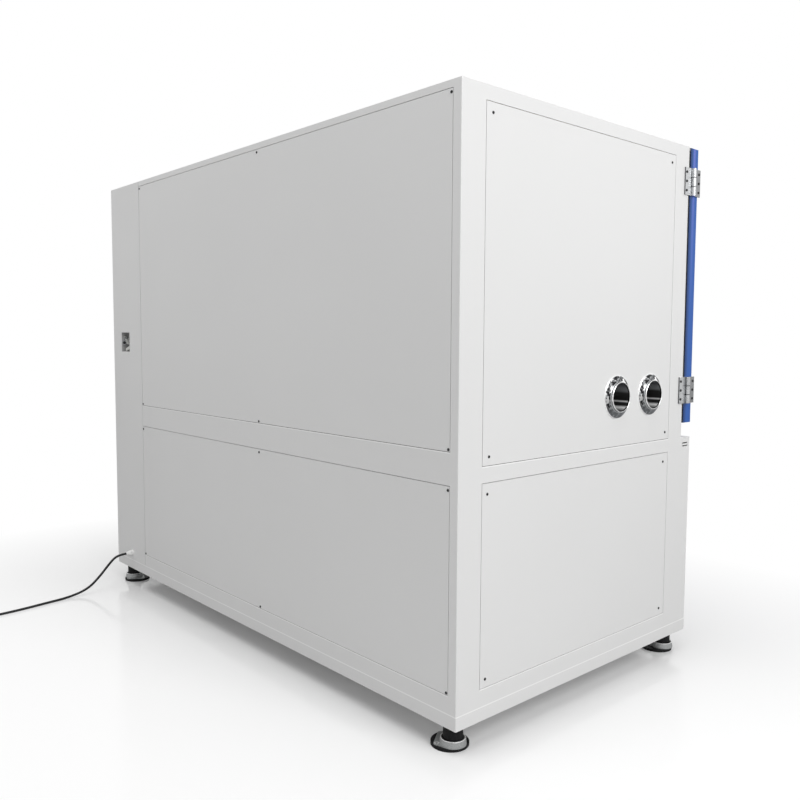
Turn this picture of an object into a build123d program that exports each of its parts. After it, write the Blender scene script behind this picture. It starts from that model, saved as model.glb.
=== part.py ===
from build123d import *
import math
import os

# Large horizontal environmental test chamber, in millimetres.
# Seen from the front (towards +Y), X runs to the right and Z up. The floor is Z = 0.
# The origin is on the floor, under the middle of the chamber without its mains lead.
# Two blue doors close an insulated test space in the upper left part. The machine bay is
# below it, and the control column is the narrow full-height part on the right.

# Overall body
BODY_WIDTH = 2189.0
UPPER_DEPTH = 1119.0
STEP_DEPTH = 61.0
BODY_HEIGHT = 1700.0
FOOT_HEIGHT = 76.0
BASE_HEIGHT = 41.0
STEP_HEIGHT = 700.0
COLUMN_WIDTH = 290.0

# Sheet metal and frame
SHEET = 1.5
FRAME_WALL = 2.0
SEAM = 3.0
FOLD_DEPTH = 18.0
LEDGE_WIDTH = 15.0
POST_SIDE = 91.0
POST_THICK = 30.0
FRONT_POST_SIDE = 85.0
BOTTOM_RAIL = 49.0
MID_RAIL_LOW = 658.0
MID_RAIL_SIDE = 45.0
MID_RAIL_REAR = 89.0
TOP_RAIL_SIDE = 40.0
TOP_RAIL_REAR = 20.0
CORNER_RADIUS = 2.5
DIVIDER_WIDTH = 56.0
DIVIDER_BACK = 30.0
BEARER = 30.0
SERVICE_DOOR_WIDTH = 560.0

# Insulated box
WALL = 100.0
REAR_BAY = 150.0
DUCT_DEPTH = 120.0
INNER_FLOOR = 788.0
INNER_HEIGHT = 800.0
FRONT_FRAME = 40.0
MULLION = 80.0
LINER_SHEET = 1.5

# Chamber doors
DOOR_GAP = 6.0
DOOR_SIDE_INSET = 0.0
NARROW_DOOR_INSET = 1.0
DOOR_BOTTOM = 752.0
DOOR_TOP_GAP = 2.0
DOOR_THICK = 50.0
DOOR_EDGE_RADIUS = 5.0
PLUG_CLEARANCE = 12.0
PLUG_INSIDE = 34.0
PLUG_DRAFT = 8.0
GASKET_WIDTH = 26.0
GASKET_INSET = 4.0
SOFT_GAP = 0.3
WINDOW_WIDTH = 400.0
WINDOW_HEIGHT = 460.0
WINDOW_CENTRE = 1190.0
WINDOW_CORNER = 40.0
WINDOW_FRAME = 28.0
WINDOW_FLANGE = 3.0
GLASS_THICK = 8.0

# Hinges
HINGE_HEIGHT = 92.0
HINGE_LEAF = 50.0
HINGE_PLATE = 4.0
HINGE_OFFSET = 8.0
KNUCKLE_RADIUS = 7.6
PIN_RADIUS = 4.0
HINGE_GAP = 0.6
HINGE_BACK = 22.0
HINGE_LOW = 867.0
HINGE_HIGH = 1583.0
RUNNING = 0.05

# Latch handles
HANDLE_EDGE = 60.0
HANDLE_CENTRE = 1290.0
LATCH_PLATE_WIDTH = 46.0
LATCH_PLATE_HEIGHT = 150.0
LATCH_PLATE_THICK = 6.0
BOSS_RADIUS = 20.0
BOSS_HEIGHT = 14.0
SPINDLE_RADIUS = 9.0
LEVER_LENGTH = 130.0
LEVER_THICK = 14.0
LEVER_OUT = 24.0

# Cable ports in the left wall
PORT_DEPTHS = {"rear": 717.0, "front": 907.0}
PORT_LIFT = 74.0
PORT_BORE = 43.0
PORT_TUBE_WALL = 3.5
PORT_FLANGE = 69.0
PORT_FLANGE_EDGE = 3.0
PORT_FLANGE_THICK = 9.0
PORT_RIM = 18.0
PORT_RIM_WALL = 5.0
PORT_REBATE = 2.5
PORT_REBATE_DEPTH = 3.5
PORT_INNER_FLANGE = 58.0
FIT_GAP = 0.3

# Levelling feet
FOOT_SIDE_INSET = 58.0
FOOT_END_INSET = 50.0
PAD_RADIUS = 54.0
PAD_HEIGHT = 9.0
PAD_SHIFT = (18.0, 6.0)
FOOT_PLATE_THICK = 3.0
FOOT_CUP_BASE = 38.0
FOOT_CUP_RADIUS = 35.5
FOOT_CUP_HEIGHT = 16.0
FOOT_CUP_WALL = 3.5
FOOT_CAP_RADIUS = 28.0
STUD_RADIUS = 10.0
STUD_ENGAGED = 36.0
FOOT_TRAVEL = 20.0
LOCK_NUT_FLATS = 30.0
LOCK_NUT_HEIGHT = 9.0
ANCHOR_SHIFT = (26.0, -37.0)
ANCHOR_RADIUS = 4.5
TOE_SHIFT = (60.0, 12.0)
LUG_RADIUS = 9.0

# Recessed signal socket and mains lead, both in the rear of the control column
SOCKET_FROM_RIGHT = 127.0
SOCKET_HEIGHT = 1020.0
SOCKET_SIZE = 86.0
SOCKET_DEPTH = 34.0
GLAND_FROM_RIGHT = 156.0
GLAND_HEIGHT = 72.0
GLAND_OUT = 30.0
CORD_RADIUS = 5.0
PLUG_BODY_RADIUS = 15.0

# Fans, heating and cooling
FAN_ACROSS = {"left": 525.0, "right": 1375.0}
COOLER_LIFT = 90.0
COOLER_HEIGHT = 170.0
COOLER_FIN_SPACE = 28.0
FAN_SPACE = 91.0
FAN_RADIUS = 115.0
FAN_WIDTH = 62.0
FAN_BLADES = 12
BLADE_THICK = 1.6
FAN_SHAFT = 8.0
HEATER_SPACE = 9.0
HEATER_ROD = 6.0
HEATER_PITCH = 35.0
HEATER_ROWS = 3
MOTOR_RADIUS = 62.0
MOTOR_LENGTH = 120.0

# Machine bay
COMPRESSORS_ACROSS = (330.0, 640.0)
COMPRESSOR_BACK = 420.0
COMPRESSOR_RADIUS = 95.0
COMPRESSOR_HEIGHT = 250.0
COMPRESSOR_FOOT = 230.0
COMPRESSOR_PAD = 37.5
CONDENSER_ACROSS = 150.0
CONDENSER_BACK = 60.0
CONDENSER_WIDTH = 780.0
CONDENSER_DEPTH = 70.0
CONDENSER_HEIGHT = 500.0
CONDENSER_FAN_RADIUS = 150.0
SHROUD_DEPTH = 80.0
TANK_ACROSS = 120.0
TANK_BACK = 260.0
TANK_WIDTH = 350.0
TANK_DEPTH = 300.0
TANK_HEIGHT = 330.0

# Control gear: for each row its height above the body's bottom, then how many devices there
# are, how tall and deep they are, and their pitch
GEAR_BACK = 160.0
GEAR_WIDTH = 460.0
GEAR_TOP_GAP = 320.0
GEAR_ROWS = ((180.0, 5, 80.0, 60.0, 70.0), (430.0, 4, 100.0, 78.0, 86.0),
             (680.0, 3, 130.0, 90.0, 110.0), (960.0, 6, 110.0, 50.0, 52.0))

# Controls on the column door
COLUMN_DOOR_THICK = 25.0
SCREEN_WIDTH = 180.0
SCREEN_HEIGHT = 136.0
SCREEN_CENTRE = 1290.0
BUTTON_ROW = 1120.0
STOP_RADIUS = 20.0
STOP_TRAVEL = 5.0
BUTTON_RADIUS = 11.0
BUTTON_TRAVEL = 3.0
SWITCH_CENTRE = 980.0
SWITCH_RADIUS = 24.0

# Planes worked out from the sizes above
HANDLE_REACH = LATCH_PLATE_THICK + BOSS_HEIGHT + LEVER_OUT
X_LEFT = (PORT_RIM - BODY_WIDTH) / 2
X_RIGHT = X_LEFT + BODY_WIDTH
X_COLUMN = X_RIGHT - COLUMN_WIDTH
X_MIDDLE = (X_LEFT + X_COLUMN) / 2
Y_REAR = (UPPER_DEPTH + STEP_DEPTH + HANDLE_REACH) / 2
Y_FACE = Y_REAR - UPPER_DEPTH
Y_FRONT = Y_FACE - STEP_DEPTH
Z_BASE = FOOT_HEIGHT
Z_BODY = Z_BASE + BASE_HEIGHT
Z_TOP = Z_BASE + BODY_HEIGHT
Z_STEP = Z_BASE + STEP_HEIGHT
Z_LOWER = Z_BODY + BOTTOM_RAIL
Z_MID = Z_BASE + MID_RAIL_LOW
Z_UPPER_SIDE = Z_MID + MID_RAIL_SIDE
Z_UPPER_REAR = Z_MID + MID_RAIL_REAR
Z_ROOF = Z_TOP - FRAME_WALL
Z_FLOOR_IN = Z_BASE + INNER_FLOOR
Z_CEILING_IN = Z_FLOOR_IN + INNER_HEIGHT
Z_PORT = Z_FLOOR_IN + PORT_LIFT
Z_COOLER = Z_FLOOR_IN + COOLER_LIFT
Z_FAN = Z_COOLER + COOLER_HEIGHT + FAN_SPACE + FAN_RADIUS
Z_HEATER = Z_FAN + FAN_RADIUS + HEATER_SPACE
X_IN_LEFT = X_LEFT + WALL
X_IN_RIGHT = X_COLUMN - WALL
Y_BULKHEAD = Y_REAR - REAR_BAY
Y_IN_BACK = Y_BULKHEAD - WALL
Y_DUCT = Y_IN_BACK - DUCT_DEPTH
Y_LEDGE = Y_REAR - FOLD_DEPTH
Y_COLUMN_BACK = Y_FRONT + DIVIDER_BACK
Y_PLUG = Y_FACE + PLUG_INSIDE
X_SERVICE = X_COLUMN - SERVICE_DOOR_WIDTH
# Each foot's stud, and the way to the body's middle along X and Y
FOOT_PLACES = {
    "rear_left": (X_LEFT + FOOT_SIDE_INSET, Y_REAR - FOOT_END_INSET, 1, -1),
    "rear_right": (X_RIGHT - FOOT_SIDE_INSET, Y_REAR - FOOT_END_INSET, -1, -1),
    "front_left": (X_LEFT + FOOT_SIDE_INSET, Y_FRONT + FOOT_END_INSET, 1, 1),
    "front_right": (X_RIGHT - FOOT_SIDE_INSET, Y_FRONT + FOOT_END_INSET, -1, 1),
}
DOOR_Z = (Z_BASE + DOOR_BOTTOM, Z_TOP - DOOR_TOP_GAP)
DOOR_X = {
    "left": (X_LEFT + DOOR_SIDE_INSET, X_MIDDLE - DOOR_GAP / 2),
    "right": (X_MIDDLE + DOOR_GAP / 2, X_COLUMN - DOOR_GAP / 2),
}
OPENING_X = {
    "left": (X_IN_LEFT, X_MIDDLE - MULLION / 2),
    "right": (X_MIDDLE + MULLION / 2, X_IN_RIGHT),
}
Y_DOOR_BACK = Y_FRONT + DOOR_THICK
HINGE_AXIS = {
    "left": (X_LEFT - HINGE_OFFSET, Y_FACE - HINGE_BACK),
    "right": (X_COLUMN - DOOR_GAP / 4, Y_FRONT - HINGE_OFFSET),
}
HINGE_Z = (Z_BASE + HINGE_LOW, Z_BASE + HINGE_HIGH)
COLUMN_DOOR_X = (X_COLUMN + DIVIDER_WIDTH + SEAM, X_RIGHT - NARROW_DOOR_INSET)
COLUMN_DOOR_Z = (Z_BODY + SEAM, Z_ROOF - SEAM)
COLUMN_AXIS = (X_RIGHT - 13.0, Y_FRONT + 12.0)
SERVICE_X = (X_SERVICE + SEAM, X_COLUMN - SEAM)
SERVICE_Z = (Z_LOWER + SEAM, Z_MID - SEAM)
SERVICE_AXIS = (X_SERVICE + SEAM + 9.0, Y_FRONT + 7.0)

PARTS = {}


def middle(span):
    return (span[0] + span[1]) / 2


def grown(span, amount):
    return (span[0] - amount, span[1] + amount)


def block(x, y, z):
    """A box between two limits on each axis."""
    return Pos(middle(x), middle(y), middle(z)) * Box(x[1] - x[0], y[1] - y[0], z[1] - z[0])


def rod(point, direction, radius, length):
    """A cylinder that starts at a point and runs along a direction."""
    grow_up = (Align.CENTER, Align.CENTER, Align.MIN)
    return Plane(origin=point, z_dir=direction) * Cylinder(radius, length, align=grow_up)


def pan(x, y, z, open_to, wall=SHEET):
    """A folded sheet pan that is open towards "+x", "-x", "+y", "-y", "+z" or "-z"."""
    limits = [list(grown(span, -wall)) for span in (x, y, z)]
    axis = "xyz".index(open_to[1])
    end = 1 if open_to[0] == "+" else 0
    limits[axis][end] = (x, y, z)[axis][end] + (1 if end else -1)
    return block(x, y, z) - block(*limits)


def tube(x, y, z, along, wall=FRAME_WALL):
    """A rectangular tube with open ends along "x", "y" or "z"."""
    limits = [grown(span, -wall) for span in (x, y, z)]
    axis = "xyz".index(along)
    limits[axis] = grown((x, y, z)[axis], 1)
    return block(x, y, z) - block(*limits)


def rounded(x, z, y, radius):
    """A plate across Y whose outline in X and Z has round corners."""
    outline = RectangleRounded(x[1] - x[0], z[1] - z[0], radius)
    plane = Plane(origin=(middle(x), y[0], middle(z)), x_dir=(1, 0, 0), z_dir=(0, 1, 0))
    return extrude(plane * outline, y[1] - y[0])


def slots(across, rows, width, height, depth):
    """A field of louvre slots through a sheet that lies across Y."""
    return [block((x - width / 2, x + width / 2), depth, (z - height / 2, z + height / 2))
            for x in across for z in rows]


def side_slots(across, rows, width, height, depth):
    """A field of louvre slots through a sheet that lies across X."""
    return [block(depth, (y - width / 2, y + width / 2), (z - height / 2, z + height / 2))
            for y in across for z in rows]


def steps(first, last, count):
    return [first + (last - first) * i / (count - 1) for i in range(count)]


def soften(shape, axis, corner, radius=CORNER_RADIUS):
    """Rounds the edges of a shape that run along an axis through a corner line."""
    names = [n for n in "XYZ" if n != axis.upper()]
    wanted = shape.edges().filter_by(getattr(Axis, axis.upper())).filter_by(
        lambda e: all(abs(getattr(e.center(), n) - c) < 0.01 for n, c in zip(names, corner)))
    return fillet(wanted, radius) if wanted else shape


def keep(name, *pieces):
    """Stores the separate solids of one node."""
    solids = [s for piece in pieces for s in piece.solids()]
    PARTS[name] = solids[0] if len(solids) == 1 else Compound(solids)


def base_frame():
    """Folded tray under the whole body, with a boss for each foot stud."""
    body = block((X_LEFT, X_RIGHT), (Y_FRONT, Y_REAR), (Z_BASE, Z_BODY))
    for x in (X_LEFT, X_RIGHT):
        for y in (Y_FRONT, Y_REAR):
            body = soften(body, "z", (x, y))
    inner_x = (X_LEFT + SHEET * 2, X_RIGHT - SHEET * 2)
    inner_y = (Y_FRONT + SHEET * 2, Y_REAR - SHEET * 2)
    body -= block(inner_x, inner_y, (Z_BASE - 1, Z_BODY - SHEET * 2))
    for share in (1 / 3, 2 / 3):
        x = X_LEFT + BODY_WIDTH * share
        body += block((x - 20, x + 20), inner_y, (Z_BASE + 2, Z_BODY - SHEET))
    for x, y, *_ in FOOT_PLACES.values():
        body += rod((x, y, Z_BASE), (0, 0, 1), STUD_RADIUS * 2.4, BASE_HEIGHT - SHEET)
        body -= rod((x, y, Z_BASE - 1), (0, 0, 1), STUD_RADIUS + RUNNING, BASE_HEIGHT - SHEET + 1)
    for x, y in (COLUMN_AXIS,):
        body -= rod((x, y, Z_BODY - 5), (0, 0, 1), PIN_RADIUS + RUNNING, 6)
    keep("base_frame", body)


def body_frame():
    """Folded posts, rails and bearers that carry the panels and the insulated box."""
    pieces = []
    post_x = (X_LEFT, X_LEFT + POST_THICK)
    ledge_x = (X_LEFT + FOLD_DEPTH, X_LEFT + FOLD_DEPTH + FRAME_WALL)
    ledge_y = (Y_LEDGE - FRAME_WALL, Y_LEDGE)
    side_rear = (Y_REAR - POST_SIDE, Y_REAR)
    side_front = Y_FACE + FRONT_POST_SIDE
    tall = (Z_BODY, Z_ROOF)
    # Rear left post, with a ledge behind each panel that meets it
    post = tube(post_x, side_rear, tall, "z")
    post = soften(post, "z", (X_LEFT, Y_REAR))
    post += block(ledge_x, (side_rear[0] - LEDGE_WIDTH, side_rear[0]), tall)
    post += block((post_x[1], post_x[1] + LEDGE_WIDTH), ledge_y, tall)
    pieces.append(post)
    # Front left post, which is wider below the step
    post = tube(post_x, (Y_FACE, side_front), tall, "z")
    post += block(ledge_x, (side_front, side_front + LEDGE_WIDTH), tall)
    pieces.append(post)
    # Box section that widens that post below the step, with its vent slots
    low = soften(tube(post_x, (Y_FRONT, Y_FACE), (Z_BODY, Z_STEP), "z"), "z", (X_LEFT, Y_FRONT))
    low += block(post_x, (Y_FRONT + CORNER_RADIUS, Y_FACE), (Z_STEP - FRAME_WALL, Z_STEP))
    front_ledge = (Y_FRONT + FOLD_DEPTH, Y_FRONT + FOLD_DEPTH + FRAME_WALL)
    low += block((post_x[1], post_x[1] + LEDGE_WIDTH), front_ledge, (Z_LOWER, Z_MID))
    for z in (Z_STEP - 22, Z_STEP - 32):
        low -= block((X_LEFT - 1, X_LEFT + 3), (Y_FRONT + 14, Y_FRONT + 50), (z, z + 4))
    pieces.append(low)
    # Right side posts
    right_x = (X_RIGHT - POST_THICK, X_RIGHT)
    right_ledge = (X_RIGHT - FOLD_DEPTH - FRAME_WALL, X_RIGHT - FOLD_DEPTH)
    post = tube(right_x, (side_rear[0], Y_LEDGE), tall, "z")
    post += block(right_ledge, (side_rear[0] - LEDGE_WIDTH, side_rear[0]), tall)
    pieces.append(post)
    right_front = (Y_COLUMN_BACK, side_front)
    post = tube(right_x, right_front, tall, "z")
    post += block(right_ledge, (side_front, side_front + LEDGE_WIDTH), tall)
    pieces.append(post)
    # Column divider beside the right door, and the hidden bar behind the rear seam
    divider = tube((X_COLUMN, X_COLUMN + DIVIDER_WIDTH), (Y_FRONT, Y_FACE + FRONT_FRAME), tall, "z")
    pieces.append(divider)
    bar_x = (X_COLUMN - LEDGE_WIDTH, X_COLUMN + LEDGE_WIDTH)
    pieces.append(tube(bar_x, (Y_LEDGE - BEARER, Y_LEDGE), tall, "z"))
    # Bottom and middle rails along the left, right and rear
    side_y = (side_front, side_rear[0])
    for z in ((Z_BODY, Z_LOWER), (Z_MID, Z_UPPER_SIDE)):
        pieces.append(tube((X_LEFT, X_LEFT + FOLD_DEPTH), side_y, z, "y"))
        pieces.append(tube((X_RIGHT - FOLD_DEPTH, X_RIGHT), side_y, z, "y"))
    rear_x = (X_LEFT + POST_THICK, X_COLUMN)
    for z in ((Z_BODY, Z_LOWER), (Z_MID, Z_UPPER_REAR)):
        pieces.append(tube(rear_x, (Y_LEDGE, Y_REAR), z, "x"))
    # Front bottom rail, and the step rail that carries the door frame
    rail = tube(rear_x, (Y_FRONT, Y_FRONT + BEARER), (Z_BODY, Z_LOWER), "x")
    rail -= rod((*SERVICE_AXIS, Z_LOWER - 5), (0, 0, 1), PIN_RADIUS + RUNNING, 6)
    pieces.append(rail)
    rail = tube(rear_x, (Y_FRONT, Y_FACE + FRONT_FRAME), (Z_MID, Z_STEP), "x")
    rail -= rod((*SERVICE_AXIS, Z_MID - 1), (0, 0, 1), PIN_RADIUS + RUNNING, 6)
    pieces.append(rail)
    # Stile between the fixed lower panel and the service door
    stile_x = (X_SERVICE - BEARER, X_SERVICE)
    stile = tube(stile_x, (Y_FRONT, Y_FRONT + BEARER), (Z_LOWER, Z_MID), "z")
    stile += block((stile_x[0] - LEDGE_WIDTH, stile_x[0]), front_ledge, (Z_LOWER, Z_MID))
    pieces.append(stile)
    # Bearers under the insulated box, on uprights that stand on the base
    bearer_z = (Z_FLOOR_IN - WALL - BEARER, Z_FLOOR_IN - WALL)
    back_y = (Y_BULKHEAD - BEARER, Y_BULKHEAD)
    pieces.append(tube((X_LEFT + POST_THICK, X_COLUMN), back_y, bearer_z, "x"))
    for x in steps(X_LEFT + POST_THICK + BEARER, X_COLUMN - BEARER * 2, 3):
        bar_x = (x, x + BEARER)
        pieces.append(tube(bar_x, (Y_FACE + FRONT_FRAME, back_y[0]), bearer_z, "y"))
        pieces.append(tube(bar_x, back_y, (Z_BODY, bearer_z[0]), "z"))
    keep("body_frame", *pieces)


def top_cover():
    """Roof sheet with its edges turned down between the posts."""
    outline = [(X_LEFT, Y_FACE), (X_COLUMN, Y_FACE), (X_COLUMN, Y_FRONT), (X_RIGHT, Y_FRONT),
               (X_RIGHT, Y_REAR), (X_LEFT, Y_REAR)]
    cover = extrude(Pos(0, 0, Z_ROOF) * make_face(Polyline(*outline, close=True)), FRAME_WALL)
    for x, y in ((X_LEFT, Y_REAR), (X_RIGHT, Y_REAR)):
        cover = soften(cover, "z", (x, y))
    side_y = (Y_FACE + FRONT_POST_SIDE, Y_REAR - POST_SIDE)
    flange_z = (Z_TOP - TOP_RAIL_SIDE, Z_ROOF)
    cover += block((X_LEFT, X_LEFT + SHEET), side_y, flange_z)
    cover += block((X_RIGHT - SHEET, X_RIGHT), side_y, flange_z)
    rear_z = (Z_TOP - TOP_RAIL_REAR, Z_ROOF)
    cover += block((X_LEFT + POST_THICK, X_COLUMN), (Y_REAR - SHEET, Y_REAR), rear_z)
    cover -= rod((*COLUMN_AXIS, Z_ROOF - 1), (0, 0, 1), PIN_RADIUS + RUNNING, FRAME_WALL + 2)
    keep("top_cover", cover)


def panels():
    """Removable skin panels, set into the frame with an even seam."""
    rear_x = grown((X_LEFT + POST_THICK, X_COLUMN), -SEAM / 2)
    side_y = grown((Y_FACE + FRONT_POST_SIDE, Y_REAR - POST_SIDE), -SEAM / 2)
    rear_y = (Y_LEDGE, Y_REAR)
    left_x = (X_LEFT, X_LEFT + FOLD_DEPTH)
    right_x = (X_RIGHT - FOLD_DEPTH, X_RIGHT)
    lower_z = grown((Z_LOWER, Z_MID), -SEAM / 2)
    upper_side_z = grown((Z_UPPER_SIDE, Z_TOP - TOP_RAIL_SIDE), -SEAM / 2)
    upper_rear_z = grown((Z_UPPER_REAR, Z_TOP - TOP_RAIL_REAR), -SEAM / 2)
    keep("rear_upper_panel", pan(rear_x, rear_y, upper_rear_z, "-y"))
    keep("rear_lower_panel", pan(rear_x, rear_y, lower_z, "-y"))
    left_upper = pan(left_x, side_y, upper_side_z, "+x")
    for depth in PORT_DEPTHS.values():
        centre = (X_LEFT - 1, Y_REAR - depth, Z_PORT)
        left_upper -= rod(centre, (1, 0, 0), PORT_BORE + PORT_TUBE_WALL + FIT_GAP, FOLD_DEPTH)
    keep("left_upper_panel", left_upper)
    keep("left_lower_panel", pan(left_x, side_y, lower_z, "+x"))
    keep("right_upper_panel", pan(right_x, side_y, upper_side_z, "-x"))
    right_lower = pan(right_x, side_y, lower_z, "-x")
    right_lower -= side_slots(steps(side_y[0] + 200, side_y[1] - 200, 3), steps(250, 430, 7),
                              180, 9, grown(right_x, 1))
    keep("right_lower_panel", right_lower)


def column_rear_panel():
    """Full-height rear skin of the control column, with the socket and gland holes."""
    x = (X_COLUMN + SEAM / 2, X_RIGHT)
    panel = pan(x, (Y_LEDGE, Y_REAR), (Z_BODY, Z_ROOF), "-y")
    panel = soften(panel, "z", (X_RIGHT, Y_REAR), SHEET * 0.8)
    half = SOCKET_SIZE / 2
    socket_x = X_RIGHT - SOCKET_FROM_RIGHT
    socket_z = Z_BASE + SOCKET_HEIGHT
    panel -= block((socket_x - half, socket_x + half), grown((Y_LEDGE, Y_REAR), 1),
                   (socket_z - half, socket_z + half))
    gland = (X_RIGHT - GLAND_FROM_RIGHT, Y_REAR - SHEET * 2, Z_BASE + GLAND_HEIGHT)
    panel -= rod(gland, (0, 1, 0), CORD_RADIUS * 1.8 + FIT_GAP, SHEET * 3)
    keep("column_rear_panel", panel)


def lower_front_panel():
    """Fixed louvred panel in front of the condenser."""
    x = grown((X_LEFT + POST_THICK, X_SERVICE - BEARER), -SEAM / 2)
    z = grown((Z_LOWER, Z_MID), -SEAM / 2)
    y = (Y_FRONT, Y_FRONT + FOLD_DEPTH)
    panel = pan(x, y, z, "+y")
    panel -= slots(steps(x[0] + 250, x[0] + 730, 3), steps(z[0] + 90, z[1] - 90, 11), 200, 10,
                   grown(y, 1))
    tab_z = (z[0], z[1])
    for edge in ((x[0], x[0] + LEDGE_WIDTH), (x[1] - LEDGE_WIDTH, x[1])):
        panel += block(edge, (y[1] - SHEET, y[1]), tab_z)
    panel -= [rod((px, Y_FRONT - 1, pz), (0, 1, 0), 3, 4) for px in (x[0] + 30, x[1] - 30)
              for pz in (z[0] + 30, z[1] - 30)]
    keep("lower_front_panel", panel)


def insulation():
    """Mineral wool slabs around the stainless liner, closed except at the front."""
    outer = block((X_LEFT + POST_THICK, X_COLUMN), (Y_FACE + FRONT_FRAME, Y_BULKHEAD),
                  (Z_FLOOR_IN - WALL, Z_ROOF))
    inner = block(grown((X_IN_LEFT, X_IN_RIGHT), LINER_SHEET),
                  (Y_FACE, Y_IN_BACK + LINER_SHEET),
                  grown((Z_FLOOR_IN, Z_CEILING_IN), LINER_SHEET))
    wool = outer - inner
    for depth in PORT_DEPTHS.values():
        wool -= rod((X_LEFT, Y_REAR - depth, Z_PORT), (1, 0, 0),
                    PORT_BORE + PORT_TUBE_WALL + FIT_GAP, WALL + 1)
    for across in FAN_ACROSS.values():
        wool -= rod((X_LEFT + across, Y_IN_BACK - 1, Z_FAN), (0, 1, 0),
                    FAN_SHAFT + 2, WALL + 2)
    keep("insulation", wool)


def inner_liner():
    """Stainless sheets that line the test space and the air duct behind it."""
    y = (Y_FACE + FRONT_FRAME, Y_IN_BACK)
    x = (X_IN_LEFT, X_IN_RIGHT)
    z = (Z_FLOOR_IN, Z_CEILING_IN)
    wide = grown(x, LINER_SHEET)
    back = block(wide, (y[1], y[1] + LINER_SHEET), grown(z, LINER_SHEET))
    for across in FAN_ACROSS.values():
        back -= rod((X_LEFT + across, y[1] - 1, Z_FAN), (0, 1, 0), FAN_SHAFT + 2, 5)
    floor = block(wide, y, (z[0] - LINER_SHEET, z[0]))
    drain = ((x[0] + x[1]) / 2, y[1] - 300, z[0] - 5)
    floor -= rod(drain, (0, 0, 1), 12, 10)
    ceiling = block(wide, y, (z[1], z[1] + LINER_SHEET))
    left = block((x[0] - LINER_SHEET, x[0]), y, z)
    for depth in PORT_DEPTHS.values():
        left -= rod((x[0] - 5, Y_REAR - depth, Z_PORT), (1, 0, 0),
                    PORT_BORE + PORT_TUBE_WALL + FIT_GAP, 10)
    right = block((x[1], x[1] + LINER_SHEET), y, z)
    keep("inner_liner", back, floor, ceiling, left, right)


def door_frame():
    """Folded channels around the two door openings, with the middle mullion."""
    y = (Y_FACE, Y_FACE + FRONT_FRAME)
    left_x = (X_LEFT + POST_THICK, X_IN_LEFT)
    right_x = (X_IN_RIGHT, X_COLUMN)
    across = (left_x[0], right_x[1])
    z = (Z_FLOOR_IN, Z_CEILING_IN)
    bars = [pan(across, y, (Z_STEP, z[0]), "+y", FRAME_WALL),
            pan(across, y, (z[1], Z_ROOF), "+y", FRAME_WALL),
            pan(left_x, y, z, "+y", FRAME_WALL),
            pan((X_MIDDLE - MULLION / 2, X_MIDDLE + MULLION / 2), y, z, "+y", FRAME_WALL),
            pan(right_x, y, z, "+y", FRAME_WALL)]
    keep("door_frame", *bars)


def port_profile():
    """Half section of a cable port: distance from the axis, then depth into the wall."""
    tube_out = PORT_BORE + PORT_TUBE_WALL
    rim = PORT_BORE + PORT_RIM_WALL
    rebate = PORT_BORE + PORT_REBATE
    shoulder = PORT_REBATE_DEPTH - PORT_RIM
    inside = WALL + 4
    edge = 0.8
    with BuildSketch(Plane.XZ) as sketch:
        with BuildLine():
            Polyline((PORT_BORE, shoulder), (rebate, shoulder), (rebate, edge - PORT_RIM),
                     (rebate + edge, -PORT_RIM), (rim - edge, -PORT_RIM), (rim, edge - PORT_RIM),
                     (rim, -PORT_FLANGE_THICK - 3))
            ThreePointArc((rim, -PORT_FLANGE_THICK - 3), (rim + 1, -PORT_FLANGE_THICK - 0.8),
                          (rim + 4, -PORT_FLANGE_THICK))
            Polyline((rim + 4, -PORT_FLANGE_THICK), (PORT_FLANGE - 1, -PORT_FLANGE_EDGE),
                     (PORT_FLANGE, 1 - PORT_FLANGE_EDGE), (PORT_FLANGE, 0), (tube_out, 0),
                     (tube_out, WALL), (PORT_INNER_FLANGE, WALL), (PORT_INNER_FLANGE, inside),
                     (PORT_BORE, inside), (PORT_BORE, shoulder))
        make_face()
    return sketch.sketch


def ports():
    """Two flanged stainless tubes through the left wall."""
    turned = revolve(port_profile(), Axis.Z, 360)
    for name, depth in PORT_DEPTHS.items():
        place = Plane(origin=(X_LEFT, Y_REAR - depth, Z_PORT), z_dir=(1, 0, 0))
        keep("port_tube_" + name, place * turned)


def duct_wall():
    """Perforated stainless wall in front of the fans, coil and heater."""
    y = (Y_DUCT, Y_DUCT + LINER_SHEET)
    wall = block((X_IN_LEFT, X_IN_RIGHT), y, (Z_FLOOR_IN, Z_CEILING_IN))
    through = grown(y, 1)
    width = X_IN_RIGHT - X_IN_LEFT
    columns = steps(X_IN_LEFT + width / 16, X_IN_RIGHT - width / 16, 8)
    wall -= slots(columns, [Z_CEILING_IN - 50, Z_CEILING_IN - 80], width / 10, 14, through)
    wall -= slots(columns, [Z_FLOOR_IN + 50], width / 10, 30, through)
    for across in FAN_ACROSS.values():
        wall -= rod((X_LEFT + across, y[0] - 1, Z_FAN), (0, 1, 0),
                    FAN_RADIUS * 0.62, 5)
    folds = [block((x, x + LINER_SHEET), (y[1], Y_IN_BACK), (Z_FLOOR_IN, Z_CEILING_IN))
             for x in (X_MIDDLE,)]
    keep("duct_wall", wall, *folds)


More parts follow.
